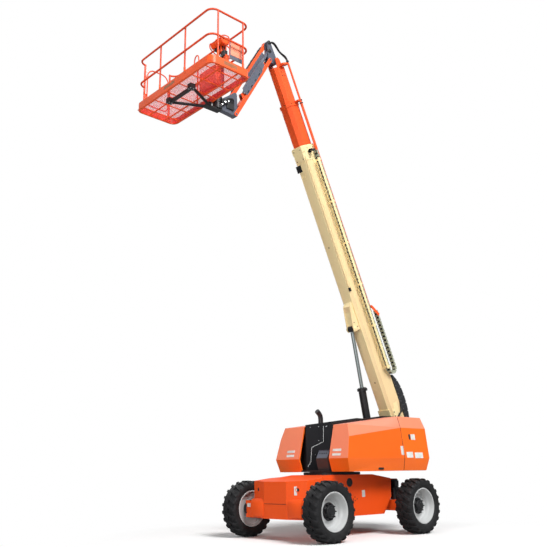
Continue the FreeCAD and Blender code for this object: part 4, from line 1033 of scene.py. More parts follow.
def base_details():
    tip = local_box("boom_base", BOOM)[1].x
    half_y, half_z = BASE
    mesh = bmesh.new()
    for s in (tip - 0.285, tip - 0.075):
        stand = 0.014 if s > tip - 0.13 else 0.006
        for offset in (-0.09, 0.09):
            for sign in (1, -1):
                spot = Vector((s, sign * (half_y + stand), offset))
                add_bolt(mesh, spot, (0, sign, 0), 0.009, 0.007)
                spot = Vector((s, offset, sign * (half_z + stand)))
                add_bolt(mesh, spot, (0, 0, sign), 0.009, 0.007)
    piece("collar_bolts", mesh, "iron", "boom_base", BOOM)
    box_piece(
        "tip_pad", ((tip - 0.52, -0.172, -half_z - 0.012), (tip - 0.37, -0.035, -half_z + 0.004)),
        "seal", "boom_base", BOOM, bevel=0.004,
    )
    mesh = bmesh.new()
    for i in range(3):
        add_box(
            mesh,
            (tip - 0.66, -0.11 + 0.045 * i, -half_z - 0.006),
            (tip - 0.575, -0.098 + 0.045 * i, -half_z + 0.001),
        )
    add_box(mesh, (tip - 0.70, -0.13, -half_z - 0.006), (tip - 0.69, 0.02, -half_z + 0.001))
    piece("tip_marks", mesh, "cream", "boom_base", BOOM)
    mesh = bmesh.new()
    add_box(mesh, (tip - 0.35, -0.12, -half_z - 0.012), (tip - 0.335, 0.12, -half_z + 0.002))
    add_box(mesh, (tip - 0.545, -0.12, -half_z - 0.008), (tip - 0.53, 0.12, -half_z + 0.002))
    for sign in (1, -1):
        add_box(mesh, (0.30, sign * half_y - 0.004, -0.06), (0.62, sign * half_y + 0.006, 0.07))
    piece("base_bands", mesh, "cream", "boom_base", BOOM, bevel=0.002)
    # Flat black discs on the underside: painted shade for the drain holes' dark inside.
    mesh = bmesh.new()
    for s, y in ((1.16, 0.01), (4.21, -0.013)):
        add_lathe(
            mesh, [(0.0, 0.0015), (0.014, 0.0015), (0.015, -0.001)],
            turned_about((0, 0, -1), Vector((s, y, -half_z))), 16,
        )
    piece("drain_hole_shades", mesh, "seal", "boom_base", BOOM)
    along = -half_z + BEVEL / 2 - 0.012
    line_y = half_y - BEVEL / 2 + 0.012
    tube(
        "boom_line",
        [(tip - 0.25, line_y, along), (tip - 0.35, line_y, along), (4.6, line_y, along),
         (3.6, line_y, along), (3.32, line_y, along), (3.26, line_y + 0.004, along - 0.002)],
        0.010, "cream", "boom_base", BOOM,
    )
    mesh = bmesh.new()
    for i in range(6):
        s = 3.60 + 0.48 * i
        add_box(mesh, (s, line_y - 0.016, along - 0.012), (s + 0.02, line_y + 0.012, along + 0.012))
    piece("line_clips", mesh, "cream", "boom_base", BOOM, bevel=0.003)
    box_piece(
        "line_fitting", ((3.20, line_y - 0.02, along - 0.02), (3.28, line_y + 0.02, along + 0.016)),
        "iron", "boom_base", BOOM, bevel=0.003,
    )
    tray_low, tray_high = local_box("chain_tray", BOOM)
    lip_out = tray_high.y - 0.001
    box_piece(
        "tray_lip",
        ((tray_low.x, lip_out - 0.006, tray_low.z + 0.001), (tray_high.x, lip_out, 0.064)), "cream",
        "boom_base", BOOM, bevel=0.002,
    )
    mesh = bmesh.new()
    arch = [
        (0.062 * math.cos(math.radians(a)), 0.062 * math.sin(math.radians(a)))
        for a in range(-10, 191, 15)
    ]
    inner = [(0.8 * u, 0.8 * v) for u, v in reversed(arch)]
    add_prism(mesh, arch + inner, 0, 0.11)
    cap = basis(Vector((tip - 0.175, 0.240, 0.02)), (0, 1, 0), (1, 0, 0))
    piece("chain_mouth", mesh, "seal", "boom_base", BOOM @ cap, bevel=0.002)


def bracket_front(eye):
    """The plate between the bracket's cheeks, ahead of the rod's eye."""
    low = local_box("lift_bracket", BOOM)[0]
    mesh = bmesh.new()
    outline = [
        (eye.x + 0.065, low.z + 0.022), (eye.x + 0.36, low.z + 0.085), (
            eye.x + 0.36, low.z + 0.094,
        ),
        (eye.x + 0.065, low.z + 0.031),
    ]
    add_prism(mesh, outline, -0.073, 0.073, "y")
    piece("bracket_front", mesh, "cream", "boom_base", BOOM)


def bracket_details():
    eye = BOOM.inverted() @ (
        joint_point("lift_barrel_swing")
        + Vector(JOINTS["lift_rod_slide"]["axis"]) * (local_box("lift_rod", LIFT)[1].x - 0.054)
    )
    bracket_front(eye)
    for sign in (1, -1):
        mesh = bmesh.new()
        place = Vector((eye.x, sign * 0.094, eye.z))
        cap = [(0.056, 0.0), (0.056, 0.008), (0.052, 0.010), (0.0, 0.010)]
        add_lathe(mesh, cap, turned_about((0, sign, 0), place), 32)
        add_bolt(mesh, place + Vector((0, sign * 0.010, 0)), (0, sign, 0), 0.018, 0.012)
        piece(f"lift_pin_cap_{sign}", mesh, "cream", "boom_base", BOOM, smooth=ROUND)
        # Flat black discs on the cheek: painted shade for the holes' dark inside.
        mesh = bmesh.new()
        for s, z in ((eye.x + 0.12, eye.z + 0.03), (eye.x + 0.01, eye.z + 0.10)):
            hole = [(0.0, 0.0012), (0.013, 0.0012), (0.014, -0.001)]
            add_lathe(mesh, hole, turned_about((0, sign, 0), Vector((s, sign * 0.094, z))), 16)
        piece(f"bracket_hole_shades_{sign}", mesh, "seal", "boom_base", BOOM)


def add_ring_link(mesh, centre, heading, y_low, y_high, thick):
    """One link: two side plates with a bar across above and below."""
    turn = Matrix((heading, Y, heading.cross(Y))).transposed().to_4x4()
    turn.translation = centre
    link = bmesh.new()
    length = 0.074
    for y in (y_low, y_high - 0.010):
        add_box(link, (-length / 2, y, -thick / 2), (length / 2, y + 0.010, thick / 2))
    for z in (-thick / 2, thick / 2 - 0.006):
        add_box(link, (-0.024, y_low + 0.006, z), (0.020, y_high - 0.006, z + 0.006))
    absorb(mesh, link, turn)


OUTER_RUN = 1.29  # the chain's run on top of the tray
LINK_PITCH = 0.085


def chain_path():
    """Places and headings along the chain, from the tip round the loop."""
    low, high = local_box("energy_chain", BOOM)
    thick = 0.045
    radius = (high.z - low.z - thick) / 2
    centre_x = low.x + radius + thick / 2
    middle = (high.z + low.z) / 2
    run = high.x - centre_x
    arc = math.pi * radius
    total = run + arc + OUTER_RUN
    stations = []
    count = int(total / LINK_PITCH)
    for i in range(count):
        d = (i + 0.5) * total / count
        if d < run:
            stations.append((Vector((high.x - d, 0, middle - radius)), Vector((-1, 0, 0))))
        elif d < run + arc:
            a = (d - run) / radius
            stations.append(
                (
                    Vector((centre_x - radius * math.sin(a), 0, middle - radius * math.cos(a))),
                    Vector((-math.cos(a), 0, math.sin(a))),
                )
            )
        else:
            stations.append(
                (Vector((centre_x + d - run - arc, 0, middle + radius)), Vector((1, 0, 0)))
            )
    return stations, low, high, thick


def energy_chain():
    stations, low, high, thick = chain_path()
    mesh = bmesh.new()
    for place, heading in stations:
        add_ring_link(mesh, place, heading, low.y, high.y, thick - 0.002)
    item = piece("chain_links", mesh, "chain", "boom_base", BOOM)
    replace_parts(item, "energy_chain")
    for k, y in enumerate((0.25, 0.5, 0.75)):
        across = low.y + y * (high.y - low.y)
        points = [place + Vector((0, across, 0)) for place, heading in stations]
        tube(f"chain_hose_{k}", points, 0.0135, "hose", "boom_base", BOOM, 2, "POLY")


def hose_cover():
    """Moulded segments that bulge from the foot up to the chain."""
    low, high = local_box("hose_cover", BOOM)
    rise = high.z - low.z
    span = high.x - low.x
    shape = [
        (0.0, 0.62), (0.113, 0.80), (0.25, 0.93), (0.396, 1.0), (0.603, 0.97), (0.72, 0.88),
        (0.82, 0.72), (0.92, 0.48), (0.981, 0.28), (1.0, 0.12),
    ]

    def height(t):
        for (a, ha), (b, hb) in zip(shape, shape[1:]):
            if t <= b:
                return ha + (hb - ha) * (t - a) / (b - a)
        return shape[-1][1]

    mesh = bmesh.new()
    segments = 6
    rings = []
    for i in range(segments):
        for share, shrink in (
            (0.0, 0.010), (0.04, 0.0), (0.90, 0.0), (0.94, 0.010), (0.999, 0.014),
        ):
            t = (i + share) / segments
            rings.append((low.x + span * t, height(t) * rise - shrink, shrink))
    loops = []
    for x, top, shrink in rings:
        y0, y1 = low.y + shrink, high.y - shrink
        r = min(0.022, top * 0.4)
        outline = [(y0, 0.0), (y0, top - r), (y0 + 0.3 * r, top - 0.3 * r), (y0 + r, top)]
        outline += [(y1 - r, top), (y1 - 0.3 * r, top - 0.3 * r), (y1, top - r), (y1, 0.0)]
        loops.append([mesh.verts.new((x, y, low.z + z)) for y, z in outline])
    for a, b in zip(loops, loops[1:]):
        for k in range(len(a) - 1):
            mesh.faces.new((a[k], b[k], b[k + 1], a[k + 1]))
        mesh.faces.new((a[-1], b[-1], b[0], a[0]))
    mesh.faces.new(list(reversed(loops[0])))
    mesh.faces.new(loops[-1])
    bmesh.ops.recalc_face_normals(mesh, faces=mesh.faces)
    item = piece("hose_cover_segments", mesh, "plastic", "boom_base", BOOM, smooth=ROUND)
    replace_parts(item, "hose_cover")
    places = [(low.x + span * (i + 0.5) / segments, high.y - 0.002, low.z + 0.035) for i in range(
        segments
    )]
    bolts("cover_bolts", places, (0, 1, 0), "steel", "boom_base", BOOM, 0.008, 0.006)


def boom_sections():
    tip = local_box("boom_mid", BOOM)[1].x
    mesh = bmesh.new()
    for z in (-0.08, 0.06):
        for sign in (1, -1):
            add_bolt(
                mesh, Vector((tip - 0.012, sign * (MID[0] + 0.010), z)), (0, sign, 0), 0.008, 0.006,
            )
    for y in (-0.06, 0.06):
        add_bolt(mesh, Vector((tip - 0.012, y, -MID[1] - 0.010)), (0, 0, -1), 0.008, 0.006)
    piece("mid_tip_bolts", mesh, "iron", "boom_mid", BOOM)
    y, z = 0.235, 0.146
    mesh = bmesh.new()
    for s in (tip - 0.06, tip + 0.005):
        clamp = [(0.0285, 0.0), (0.038, 0.0), (0.038, 0.022), (0.0285, 0.022)]
        add_lathe(mesh, clamp, turned_about(X, Vector((s, y, z))), 24)
    piece("tube_clamp", mesh, "iron", "boom_mid", BOOM, smooth=ROUND)
    nose = local_box("boom_fly", BOOM)[1].x
    mesh = bmesh.new()
    for s in (nose - 0.40, nose - 0.32):
        for sign in (1, -1):
            add_bolt(mesh, Vector((s, sign * FLY[0], 0.05)), (0, sign, 0), 0.010, 0.007)
            add_bolt(mesh, Vector((s, sign * FLY[0], -0.02)), (0, sign, 0), 0.010, 0.007)
    piece("nose_bolts", mesh, "iron", "boom_fly", BOOM)
    tube_end = local_box("fly_tube", BOOM)[1]
    mesh = bmesh.new()
    add_lathe(
        mesh, [(0.0, 0.0), (0.030, 0.0), (0.030, 0.03), (0.024, 0.036), (0.0, 0.036)],
        turned_about(X, Vector((tube_end.x - 0.002, y, z))), 24,
    )
    piece("tube_cap", mesh, "iron", "boom_fly", BOOM, smooth=ROUND)


def cylinder_details():
    high = local_box("lift_barrel", LIFT)[1]
    mesh = bmesh.new()
    lip = [(0.040, 0.0), (0.060, 0.0), (0.066, -0.006), (0.066, -0.014)]
    add_lathe(mesh, lip, turned_about(X, Vector((high.x + 0.012, 0, 0))), 40)
    piece("barrel_lip", mesh, "iron", "lift_barrel", LIFT, smooth=ROUND)
    mesh = bmesh.new()
    for a in turns(8):
        add_bolt(
            mesh, Vector((high.x, 0.074 * math.cos(a), 0.074 * math.sin(a))), (1, 0, 0), 0.0085,
            0.010,
        )
    piece("gland_bolts", mesh, "steel", "lift_barrel", LIFT)
    mesh = bmesh.new()
    add_box(mesh, (high.x - 0.065, 0.078, -0.035), (high.x - 0.008, 0.112, 0.035))
    add_box(mesh, (high.x - 0.065, -0.112, -0.035), (high.x - 0.008, -0.078, 0.035))
    add_box(mesh, (0.10, -0.05, -0.115), (0.26, 0.05, -0.068))
    piece("port_blocks", mesh, "iron", "lift_barrel", LIFT, bevel=0.004)
    tube(
        "barrel_pipe",
        [(high.x - 0.04, -0.02, -0.088), (high.x - 0.12, -0.02, -0.093), (1.0, -0.02, -0.093),
         (0.40, -0.02, -0.093), (0.25, -0.02, -0.093)],
        0.010, "black", "lift_barrel", LIFT,
    )
    eye_x = local_box("lift_rod", LIFT)[1].x - 0.054
    mesh = bmesh.new()
    eye = [(0.036, -0.067), (0.056, -0.067), (0.056, 0.067), (0.036, 0.067)]
    add_lathe(mesh, eye + eye[:1], turned_about(Y, Vector((eye_x, 0, 0))), 40)
    piece("rod_eye", mesh, "iron", "lift_rod", LIFT, smooth=ROUND)
    mesh = bmesh.new()
    neck = [(0.0385, -0.062), (0.050, -0.058), (0.052, -0.040)]
    add_lathe(mesh, neck, turned_about(X, Vector((eye_x, 0, 0))), 32)
    piece("rod_neck", mesh, "iron", "lift_rod", LIFT, smooth=ROUND)
    box_piece(
        "rod_block", ((eye_x - 0.060, -0.062, -0.052), (eye_x - 0.012, 0.062, 0.052)), "iron",
        "lift_rod", LIFT, bevel=0.006,
    )


def foot_details():
    """Stiffening plates and hoses at the foot of the boom."""
    half_y, half_z = BASE
    mesh = bmesh.new()
    add_box(mesh, (0.34, -half_y + 0.02, -half_z - 0.022), (0.54, half_y - 0.02, -half_z + 0.002))
    for sign in (1, -1):
        low, high = sorted((sign * (half_y - 0.002), sign * (half_y + 0.012)))
        outline = [
            (0.30, -half_z + 0.06), (0.50, -half_z + 0.06), (0.50, -0.06), (0.42, 0.02),
            (0.36, 0.10), (0.30, 0.10),
        ]
        add_prism(mesh, outline, low, high, "y")
    piece("foot_plates", mesh, "cream", "boom_base", BOOM, bevel=0.003)
    places = [(x, half_y + 0.012, z) for x, z in ((0.36, -0.12), (0.45, -0.12), (0.36, 0.02))]
    bolts("foot_bolts", places, (0, 1, 0), "iron", "boom_base", BOOM, 0.011, 0.008)
    for k in range(4):
        y = half_y + 0.020 + 0.016 * (k % 2)
        points = [
            (0.30 + 0.02 * k, y, -0.10 + 0.06 * k), (0.36 + 0.01 * k, y + 0.01, -0.03 + 0.045 * k),
            (0.35 + 0.03 * k, y, 0.06 + 0.025 * k), (0.40 + 0.05 * k, y - 0.01, 0.13 + 0.01 * k),
            (0.46 + 0.06 * k, y - 0.03, 0.185), (0.52 + 0.06 * k, half_y - 0.06, 0.225),
        ]
        tube(f"foot_hose_{k}", points, 0.012, "hose", "boom_base", BOOM)


base_details()
foot_details()
bracket_details()
energy_chain()
hose_cover()
boom_sections()
cylinder_details()


# --- jib -----------------------------------------------------------------------------------

def jib_details():
    length = (joint_point("jib_end_level") - joint_point("jib")).length
    guard_low, guard_high = local_box("jib_guard", ARM)
    mesh = bmesh.new()
    outline = [
        (0.25, 0.055), (guard_low.x + 0.01, 0.016), (guard_low.x + 0.01, guard_high.z),
        (0.30, guard_high.z), (0.25, 0.135),
    ]
    add_prism(mesh, outline, guard_low.y + 0.022, guard_high.y, "y")
    piece("guard_top", mesh, "grey", "jib_lower_arm", ARM, bevel=0.002)
    # Thin black boxes on the guard's side: painted shade for its slots' dark inside.
    mesh = bmesh.new()
    for s in (0.18, 0.42, 0.66, 0.88):
        x = guard_low.x + s * (guard_high.x - guard_low.x)
        add_box(
            mesh, (x - 0.035, guard_high.y - 0.001, 0.030),
            (x + 0.035, guard_high.y + 0.004, 0.052),
        )
    piece("guard_slot_shades", mesh, "seal", "jib_lower_arm", ARM, bevel=0.001)
    bolts(
        "guard_bolts",
        [
            (guard_low.x + s * (guard_high.x - guard_low.x), guard_high.y, z)
            for s in (0.08, 0.3, 0.54, 0.78, 0.95)
            for z in (0.075, 0.145)
        ],
        (0, 1, 0), "grey", "jib_lower_arm", ARM, 0.008, 0.005,
    )
    box_piece(
        "arm_wear_strip", ((0.30, -0.058, -0.047), (1.56, 0.058, -0.0425)), "boom_orange",
        "jib_lower_arm", ARM, bevel=0.002,
    )
    low, high = local_box("jib_upper_arm", UPPER)
    mesh = bmesh.new()
    for x in (0.0, length):
        cap = [(0.034, 0.0), (0.034, 0.006), (0.0, 0.006)]
        add_lathe(mesh, cap, turned_about((0, -1, 0), Vector((x, low.y, 0))), 24)
    piece("upper_pin_caps", mesh, "iron", "jib_upper_arm", UPPER, smooth=ROUND)
    for k in range(2):
        y = low.y + 0.018 + 0.028 * k
        tube(
            f"upper_hose_{k}",
            [
                (0.14, y, 0.050), (0.20, y, 0.052), (0.9, y, 0.052), (1.62, y, 0.052),
                (1.70, y, 0.050),
            ],
            0.010, "hose", "jib_upper_arm", UPPER,
        )
    box_piece(
        "upper_guard", ((0.24, high.y + 0.0006, -0.118), (1.24, high.y + 0.003, -0.020)), "grey",
        "jib_upper_arm", UPPER,
    )
    mesh = bmesh.new()
    for x in (0.25, 0.62, 0.99, 1.36, 1.62):
        add_box(mesh, (x, low.y + 0.004, 0.038), (x + 0.025, low.y + 0.06, 0.066))
    piece("upper_clamps", mesh, "iron", "jib_upper_arm", UPPER, bevel=0.003)


def knuckle_details():
    upper = joint_point("jib_upper_swing")
    mesh = bmesh.new()
    cap = [(0.044, 0.0), (0.044, 0.010), (0.038, 0.014), (0.0, 0.014)]
    for point in (upper, joint_point("jib_barrel_swing")):
        add_lathe(mesh, cap, turned_about((0, 1, 0), point + Vector((0, 0.056, 0))), 28)
        for a in turns(3):
            spot = point + Vector((0.028 * math.cos(a), 0.070, 0.028 * math.sin(a)))
            add_bolt(mesh, spot, (0, 1, 0), 0.006, 0.005)
    piece("knuckle_caps", mesh, "iron", "jib_knuckle", smooth=ROUND)
    tube_end = BOOM @ Vector((local_box("fly_tube", BOOM)[1].x + 0.03, 0.235, 0.146))
    for k in range(4):
        spread = Vector((0.0, 0.022 * (k - 1.5), 0.0))
        start = upper + Vector((-0.03, 0.075, 0.0)) + spread * 0.5
        points = [
            start, start + Vector((-0.05, 0.012, 0.025)), start + Vector((-0.13, 0.02, -0.03)),
            start + Vector((-0.22, 0.03, -0.15 - 0.010 * k)),
            tube_end + Vector((0.045, -0.05 + 0.014 * k, 0.11)),
            tube_end + Vector((0.018, -0.02 + 0.008 * k, 0.05)),
            tube_end + Vector((-0.004, -0.004 + 0.004 * k, -0.005)),
        ]
        bending_tube(f"nose_hose_{k}", points, 0.013, "hose")


def end_details():
    lower = joint_point("jib_end_level")
    r = 0.090  # the rotator's drum
    low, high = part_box("rotator")
    centre = (low + high) / 2
    mesh = bmesh.new()
    for z in (low.z, high.z - 0.024, centre.z):
        band = [(r - 0.001, 0.0), (r + 0.010, 0.003), (r + 0.010, 0.021), (r - 0.001, 0.024)]
        add_lathe(mesh, band, turned_about(Z, Vector((centre.x, centre.y, z))), 40)
    for a in turns(8, 0.5):
        add_bolt(
            mesh, Vector((centre.x + 0.07 * math.cos(a), centre.y + 0.07 * math.sin(a), high.z)),
            (0, 0, 1), 0.008, 0.008,
        )
    piece("rotator_bands", mesh, "iron", "jib_end", smooth=ROUND)
    mesh = bmesh.new()
    add_box(
        mesh, (centre.x - 0.12, 0.060, centre.z - 0.03), (centre.x - 0.03, 0.13, centre.z + 0.07),
    )
    add_box(mesh, (lower.x + 0.06, 0.056, lower.z + 0.05), (lower.x + 0.24, 0.085, lower.z + 0.20))
    piece("end_valve", mesh, "iron", "jib_end", bevel=0.005)
    for k in range(4):
        a = Vector((lower.x + 0.08 + 0.03 * k, 0.082, lower.z + 0.19))
        tube(
            f"end_hose_{k}",
            steps_from(
                a, (0, 0.01, 0.05), (0.03, 0.035, 0.10), (0.12, 0.03, 0.06 - 0.02 * k),
                (0.19 - 0.02 * k, 0.02, -0.05),
            ),
            0.010, "hose", "jib_end",
        )
    mesh = bmesh.new()
    for x, y, z, r in (
        (0.30, 0.10, 0.11, 0.026), (0.22, 0.10, 0.15, 0.018), (0.36, 0.08, 0.05, 0.020),
    ):
        fitting = [
            (0.0, 0.0), (r, 0.0), (r, 0.05), (0.7 * r, 0.055), (0.7 * r, 0.085), (0.0, 0.085),
        ]
        place = turned_about((0.3, 1, 0.2), Vector((lower.x + x, y - 0.04, lower.z + z)))
        add_lathe(mesh, fitting, place, 20)
    piece("end_fittings", mesh, "steel", "jib_end", smooth=ROUND)


jib_details()
knuckle_details()
end_details()


# --- platform ------------------------------------------------------------------------------

def platform_floor():
    """A skirt with rounded corners round an open mesh on its frame."""
    low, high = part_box("platform_floor")
    centre = (low + high) / 2
    wide, deep = high.x - low.x, high.y - low.y
    place = Matrix.Translation(Vector((centre.x, centre.y, 0)))
    mesh = bmesh.new()
    outer = rounded(wide, deep, 0.13, 8)
    inner = rounded(wide - 0.020, deep - 0.020, 0.12, 8)
    lip = rounded(wide - 0.084, deep - 0.084, 0.09, 8)
    rings = []
    for outline, z in (
        (inner, low.z + 0.012), (inner, high.z - 0.004), (outer, high.z), (outer, low.z + 0.004),
        (inner, low.z), (lip, low.z), (lip, low.z + 0.012),
    ):
        rings.append([mesh.verts.new((x, y, z)) for x, y in outline])
    count = len(outer)
    for a, b in zip(rings, rings[1:] + rings[:1]):
        for i in range(count):
            j = (i + 1) % count
            mesh.faces.new((a[i], a[j], b[j], b[i]))
    bmesh.ops.recalc_face_normals(mesh, faces=mesh.faces)
    item = piece("skirt", mesh, "boom_orange", "platform", place, smooth=30)
    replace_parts(item, "platform_floor")
    frame_mesh = bmesh.new()
    half_x, half_y = wide / 2 - 0.012, deep / 2 - 0.012
    for x in (-0.19, 0.16):
        add_box(frame_mesh, (x - 0.010, -half_y, low.z + 0.004), (x + 0.010, half_y, low.z + 0.029))
    for i in range(6):
        y = -half_y + 2 * half_y * (i + 0.5) / 6
        add_box(frame_mesh, (-half_x, y - 0.008, low.z + 0.006), (half_x, y + 0.008, low.z + 0.027))
    piece("floor_frame", frame_mesh, "boom_orange", "platform", place, bevel=0.002)
    net = bmesh.new()
    pitch, bar = 0.012, 0.0011
    for i in range(int(2 * half_y / pitch)):
        y = -half_y + pitch * (i + 0.5)
        add_box(net, (-half_x, y - bar, low.z + 0.029), (half_x, y + bar, low.z + 0.0312))
    for i in range(int(2 * half_x / pitch)):
        x = -half_x + pitch * (i + 0.5)
        add_box(net, (x - bar, -half_y, low.z + 0.0295), (x + bar, half_y, low.z + 0.0308))
    piece("floor_mesh", net, "mesh", "platform", place)


RAIL_IN = 0.019  # the rails' centre lines, in from the floor's edge


def platform_details():
    low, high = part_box("platform_floor")
    mesh = bmesh.new()
    sockets = [(x, y) for x in (low.x + RAIL_IN, high.x - RAIL_IN) for y in (-0.4, 0.4)]
    for y in (low.y + RAIL_IN, high.y - RAIL_IN):
        sockets += [(x, y) for x in (low.x + 0.17, high.x - 0.17)]
    for x, y in sockets:
        place = turned_about(Z, Vector((x, y, high.z + 0.001)))
        add_lathe(mesh, [(0.021, 0.0), (0.021, 0.09), (0.0165, 0.10)], place, 20)
    piece("post_sockets", mesh, "boom_orange", "platform", smooth=ROUND)
    plate_on(
        "skirt_plate_0", "platform_floor", (high.x - 0.44, 3, high.z - 0.07), (0, -1, 0),
        (0.30, 0.075), "tan", "platform", 0.0015, 0.01,
    )
    plate_on(
        "skirt_plate_1", "platform_floor", (5, -0.06, high.z - 0.07), (-1, 0, 0),
        (0.34, 0.06), "tan", "platform", 0.0015, 0.01,
    )
    grab = [
        (high.x - RAIL_IN, 0.70, high.z + 0.005), (high.x - RAIL_IN, 0.70, high.z + 0.11),
        (high.x - RAIL_IN, 0.74, high.z + 0.155), (high.x - RAIL_IN, 0.80, high.z + 0.155),
        (high.x - RAIL_IN, 0.83, high.z + 0.10), (high.x - RAIL_IN, 0.83, high.z + 0.005),
    ]
    tube("grab_loop", grab, 0.011, "rail", "platform")
    notice = bmesh.new()
    add_prism(notice, rounded(0.09, 0.13, 0.006), -0.002, 0.002)
    spot = basis(Vector((high.x - 0.185, low.y + 0.018, high.z + 0.86)), (1, 0, 0), (0, 0, 1))
    piece("gate_notice", notice, "label", "platform", spot)
    support_low, support_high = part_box("platform_support")
    mesh = bmesh.new()
    for sign in (1, -1):
        x = support_high.x - 0.05
        for dx in (-0.03, 0.03):
            for dy in (-0.03, 0.03):
                add_bolt(
                    mesh, Vector((x + dx, sign * 0.345 + dy, support_low.z + 0.0005)), (0, 0, -1),
                    0.010, 0.008,
                )
    piece("support_bolts", mesh, "steel", "platform")


def console():
    """The operator's panel on its bracket, with its guard bars, levers and cables."""
    low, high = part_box("control_console")
    body = "platform"
    y0, y1 = low.y - 0.16, high.y - 0.10
    top = high.z
    mesh = bmesh.new()
    outline = [
        (low.x + 0.03, top - 0.17), (high.x - 0.05, top - 0.19), (high.x - 0.01, top - 0.13),
        (high.x - 0.02, top - 0.085), (low.x + 0.07, top - 0.035), (low.x + 0.03, top - 0.035),
    ]
    add_prism(mesh, outline, y0 + 0.02, y1 - 0.02, "y")
    item = piece("console_box", mesh, "red_orange", body, bevel=0.008)
    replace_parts(item, "control_console")
    mesh = bmesh.new()
    panel = [
        (low.x + 0.072, top - 0.0335), (high.x - 0.022, top - 0.083), (high.x - 0.026, top - 0.090),
        (low.x + 0.070, top - 0.040),
    ]
    add_prism(mesh, panel, y0 + 0.03, y1 - 0.03, "y")
    add_box(mesh, (low.x + 0.05, y0 + 0.06, top - 0.24), (low.x + 0.16, y0 + 0.20, top - 0.17))
    add_box(mesh, (low.x + 0.04, y1 - 0.14, top - 0.42), (low.x + 0.12, y1 - 0.05, top - 0.30))
    piece("console_panel", mesh, "black", body, bevel=0.004)
    mesh = bmesh.new()
    middle = (y0 + y1) / 2
    add_box(mesh, (low.x + 0.006, middle - 0.06, low.z), (low.x + 0.032, middle + 0.06, top - 0.10))
    add_box(
        mesh, (low.x + 0.03, middle - 0.05, top - 0.30), (low.x + 0.13, middle + 0.05, top - 0.19),
    )
    add_box(mesh, (low.x + 0.02, y1 - 0.12, low.z + 0.02), (low.x + 0.10, y1 - 0.03, low.z + 0.16))
    piece("console_bracket", mesh, "boom_orange", body, bevel=0.005)
    for i, y in enumerate((y0, middle, y1)):
        tube(
            f"console_guard_{i}",
            [(low.x + 0.03, y, low.z + 0.06), (low.x + 0.03, y, top - 0.06),
             (low.x + 0.05, y, top - 0.012), (high.x - 0.07, y, top - 0.035),
             (high.x - 0.012, y, top - 0.07), (high.x - 0.012, y, top - 0.15),
             (high.x - 0.04, y, top - 0.20), (low.x + 0.04, y, top - 0.26)],
            0.011, "rail", body,
        )
    tube(
        "console_bar",
        [(high.x - 0.012, y0 + 0.01, top - 0.10), (high.x - 0.012, y1 - 0.01, top - 0.10)],
        0.010, "rail", body, kind="POLY",
    )
    mesh = bmesh.new()
    for share in (0.2, 0.5, 0.8):
        place = Vector((low.x + 0.11, y0 + share * (y1 - y0), top - 0.052))
        stick = [
            (0.020, 0.0), (0.015, 0.012), (0.007, 0.02), (0.006, 0.030), (0.010, 0.036),
            (0.010, 0.045), (0.0, 0.048),
        ]
        add_lathe(mesh, stick, turned_about((0.2, 0, 1), place), 16)
    for i in range(6):
        place = Vector((low.x + 0.17, y0 + 0.05 + i * (y1 - y0 - 0.1) / 5, top - 0.075))
        knob = [(0.009, 0.0), (0.009, 0.006), (0.003, 0.007), (0.003, 0.020), (0.0, 0.021)]
        add_lathe(mesh, knob, turned_about((0.3, 0, 1), place), 12)
    piece("console_sticks", mesh, "plastic", body, smooth=ROUND)
    floor_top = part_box("platform_floor")[1].z
    mesh = bmesh.new()
    add_box(
        mesh, (low.x + 0.03, y0 - 0.40, floor_top + 0.02),
        (low.x + 0.17, y0 + 0.12, floor_top + 0.44),
    )
    piece("tool_tray", mesh, "boom_orange", body, bevel=0.012)
    for k in range(4):
        y = y0 + 0.07 + 0.08 * k
        tube(
            f"console_cable_{k}",
            [(low.x + 0.09, y, top - 0.17), (low.x + 0.11, y + 0.01, top - 0.24),
             (low.x + 0.07, middle - 0.02 + 0.015 * k, top - 0.33),
             (low.x + 0.055, middle - 0.02 + 0.015 * k, low.z + 0.02),
             (low.x + 0.05, middle - 0.03 + 0.02 * k, low.z - 0.22),
             (low.x + 0.03, middle - 0.05 + 0.02 * k, low.z - 0.40)],
            0.009, "hose", body,
        )
    mesh = bmesh.new()
    y = low.y + 0.63
    x0, x1, z0, z1 = low.x + 0.065, low.x + 0.365, low.z - 0.27, low.z + 0.12
    add_box(mesh, (x0, y - 0.012, z0), (x1, y, z1))
    piece("notice_frame", mesh, "grey", "platform", bevel=0.004)
    box_piece(
        "notice_board", ((x0 + 0.035, y - 0.001, z0 + 0.08), (x1 - 0.012, y + 0.004, z1 - 0.02)),
        "salmon", "platform", bevel=0.002,
    )


def gate_loop():
    """A D-shaped loop with wide bends that carries the gate's two hinge eyes."""
    low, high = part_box("entry_gate")
    y = (low.y + high.y) / 2
    bar = 0.0125
    x0, x1, z0, z1 = low.x + bar, high.x - 0.045, low.z + bar, high.z - bar
    bend = 0.16
    corners = [(x0, z0, 180, 0.10), (x1, z0, 270, 0.10), (x1, z1, 0, bend), (x0, z1, 90, bend)]
    points = []
    for x, z, first, r in corners:
        cx = x + r if x == x0 else x - r
        cz = z + r if z == z0 else z - r
        for i in range(7):
            a = math.radians(first + 15 * i)
            points.append((cx + r * math.cos(a), y, cz + r * math.sin(a)))
    loop = tube("gate_loop", points, bar, "rail", "entry_gate", kind="POLY", cyclic=True)
    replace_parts(loop, "entry_gate")
    mesh = bmesh.new()
    hinge = joint_point("gate")
    for z in (z0 + 0.20, z1 - 0.24):
        eye = [(0.008, -0.025), (0.015, -0.025), (0.015, 0.025), (0.008, 0.025)]
        add_lathe(mesh, eye + eye[:1], turned_about(Z, Vector((hinge.x, hinge.y, z))), 20)
        add_box(mesh, (x1 - 0.004, y - 0.005, z - 0.018), (hinge.x - 0.010, y + 0.005, z + 0.018))
    item = piece("gate_eyes", mesh, "rail", "entry_gate", smooth=ROUND)
    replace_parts(item, "entry_gate")


platform_floor()
platform_details()
gate_loop()
console()


# --- stage ---------------------------------------------------------------------------------

FLOOR_TONE = 0.98
FLOOR_BOUNCE = 0.48
SHADOW_REACH = (3.2, 5.0)


